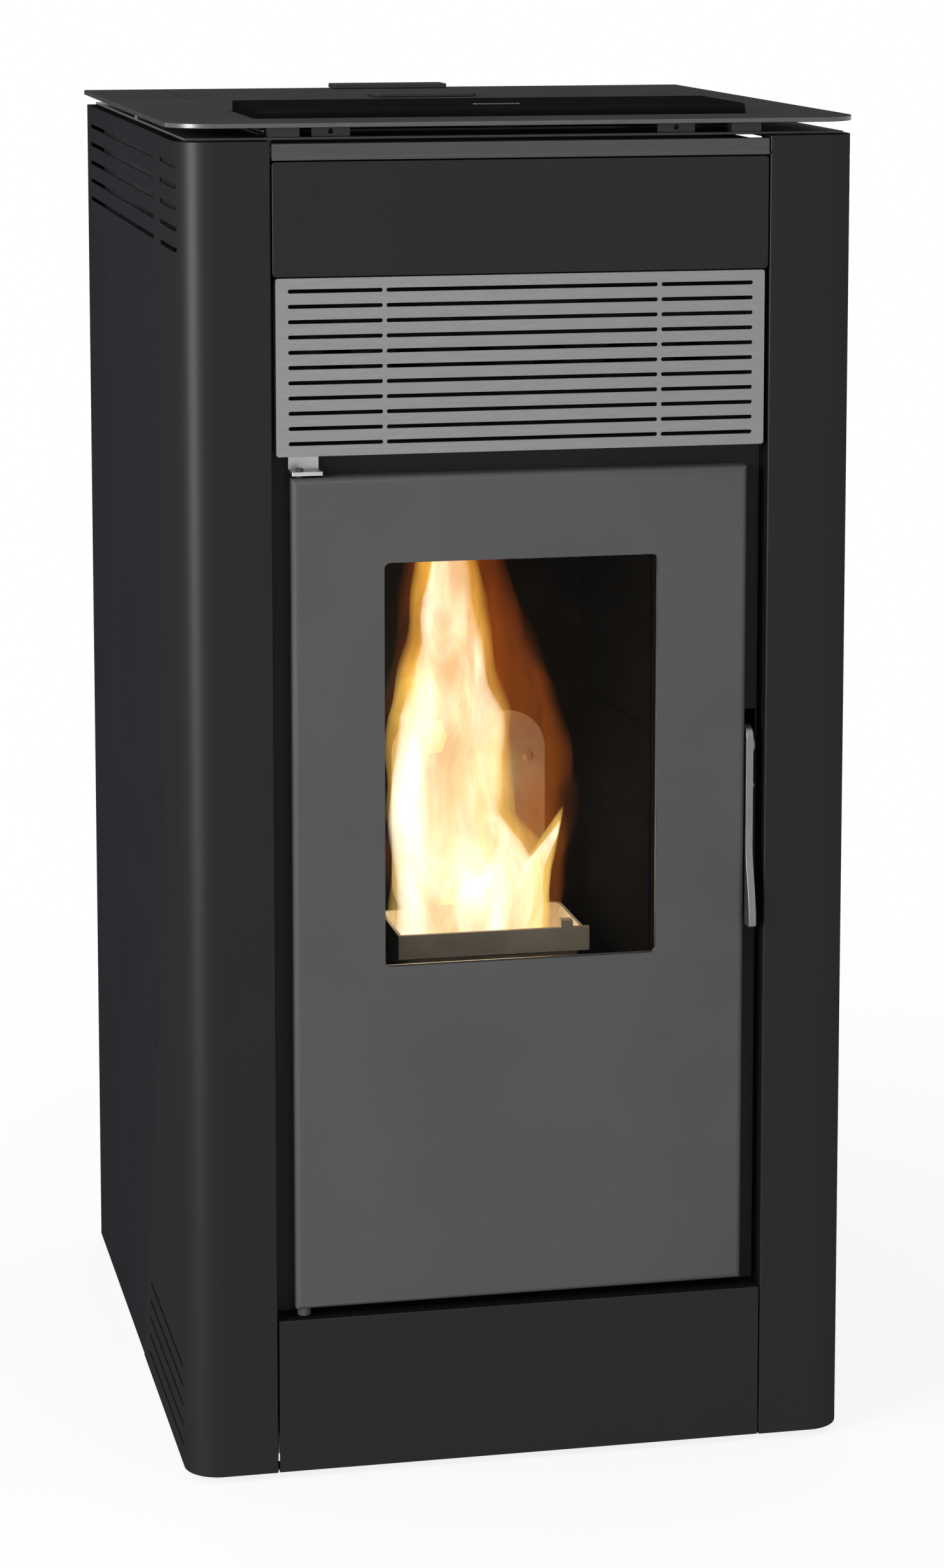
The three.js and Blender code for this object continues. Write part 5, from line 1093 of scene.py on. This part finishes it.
def embers():
    """Wood pellets that glow at the bottom of the pot."""
    rng = random.Random(11)
    form = bmesh.new()
    pellets, per_layer, layer, radius = 70, 28, 4.5, 3 * MM
    for i in range(pellets):
        length = rng.uniform(9, 17) * MM
        height = FIRE_BED + 4 + layer * (i // per_layer)
        spot = at(rng.uniform(-48, 48), rng.uniform(134, 178), height)
        turn = Matrix.Rotation(rng.uniform(0, math.pi), 4, "Z")
        turn = turn @ Matrix.Rotation(rng.uniform(1.3, 1.8), 4, "Y")
        bmesh.ops.create_cone(form, cap_ends=True, segments=14, radius1=radius, radius2=radius,
                              depth=length, matrix=Matrix.Translation(spot) @ turn)
    soft = form.verts.layers.float.new("soft")
    for vert in form.verts:
        vert[soft] = 1
    bed = link("embers", form)
    bed.data.materials.append(EMBER)
    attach(bed, BODY_OF["burn_pot"])


lick("flame_fringe", FLAME_FRINGE, FRINGE, 3)
lick("flame_body", FLAME_BODY, BODY, 5)
lick("flame_core", FLAME_CORE, CORE, 8)
lick("side_tongue_body", TONGUE_BODY, BODY, 4)
lick("side_tongue_core", TONGUE_CORE, CORE, 6)
embers()


# ---------------------------------------------------------------- parts inside and behind

def dress(material, edge, *nodes):
    """Gives CAD nodes that stay in the picture a finish, broken edges and smooth rounds."""
    for node in nodes:
        obj = frame["nodes"][node]
        obj.data.materials.clear()
        obj.data.materials.append(material)
        count = len(obj.data.polygons)
        obj.data.polygons.foreach_set("material_index", [0] * count)
        obj.data.polygons.foreach_set("use_smooth", [True] * count)
        weld_points = obj.modifiers.new("weld", "WELD")
        weld_points.merge_threshold = 0.01 * MM
        rim = obj.modifiers.new("edges", "BEVEL")
        rim.width = edge * MM
        rim.segments = 2
        rim.limit_method = "ANGLE"
        rim.angle_limit = math.radians(50)
        split = obj.modifiers.new("creases", "EDGE_SPLIT")
        split.split_angle = math.radians(46)
        normals = obj.modifiers.new("normals", "WEIGHTED_NORMAL")
        normals.keep_sharp = True


HOPPER_STEEL = brushed("hopper_steel", (0.16, 0.16, 0.165), 0.6, (1, 1, 20), 0.5)
SCREW_STEEL = brushed("screw_steel", (0.35, 0.34, 0.33), 0.42, (20, 1, 20), 0.85)
RUBBER = plastic("foot_rubber", (0.015, 0.015, 0.015), 0.75)
INLET_PLASTIC = plastic("inlet_plastic", (0.012, 0.012, 0.012), 0.35)
PANEL_PLASTIC = plastic("panel_plastic", (0.014, 0.014, 0.015), 0.3)
# The top frame's steel is darkened as painted shade, so the frame seen through the gaps reads as shade.
FRAME_STEEL_PAINTED_SHADE = brushed("frame_steel_painted_shade", (0.045, 0.045, 0.046), 0.45, (1, 20, 20), 0.5)

dress(PLATE_PAINT, 0.3, "front_plate")
dress(PLAIN_STEEL, 0.3, "latch_striker", "upper_hinge_bracket", "glass_retainer", "room_fan_impeller")
dress(FRAME_STEEL_PAINTED_SHADE, 0.3, "top_frame")
dress(ZINC, 0.3, "base_tray", "smoke_duct", "control_board_box", "room_fan_housing", "air_intake_pipe",
      "flue_outlet")
dress(FIRE_STEEL, 0.4, "firebox", "ash_drawer", "heat_exchanger", "pellet_chute", "flue_fan_impeller")
dress(LINING, 0.6, "fire_lining_left", "fire_lining_right")
dress(FIRE_CAST, 0.4, "burn_pot_cradle")
dress(BRIGHT_STEEL, 0.2, "igniter")
dress(HOPPER_STEEL, 0.3, "hopper", "hopper_funnel")
dress(SCREW_STEEL, 0.3, "auger_tube", "auger_screw")
dress(CAST_GREY, 0.5, "auger_gearmotor", "flue_fan_housing")
dress(MOTOR_BLACK, 0.4, "flue_fan_motor", "room_fan_motor")
dress(RUBBER, 0.5, "foot_front_left", "foot_front_right", "foot_rear_left", "foot_rear_right")
dress(INLET_PLASTIC, 0.3, "power_inlet")
dress(PANEL_PLASTIC, 0.4, "control_panel")
dress(GREY_PLASTIC, 0.3, "mains_switch", "panel_button_1", "panel_button_2", "panel_button_3")
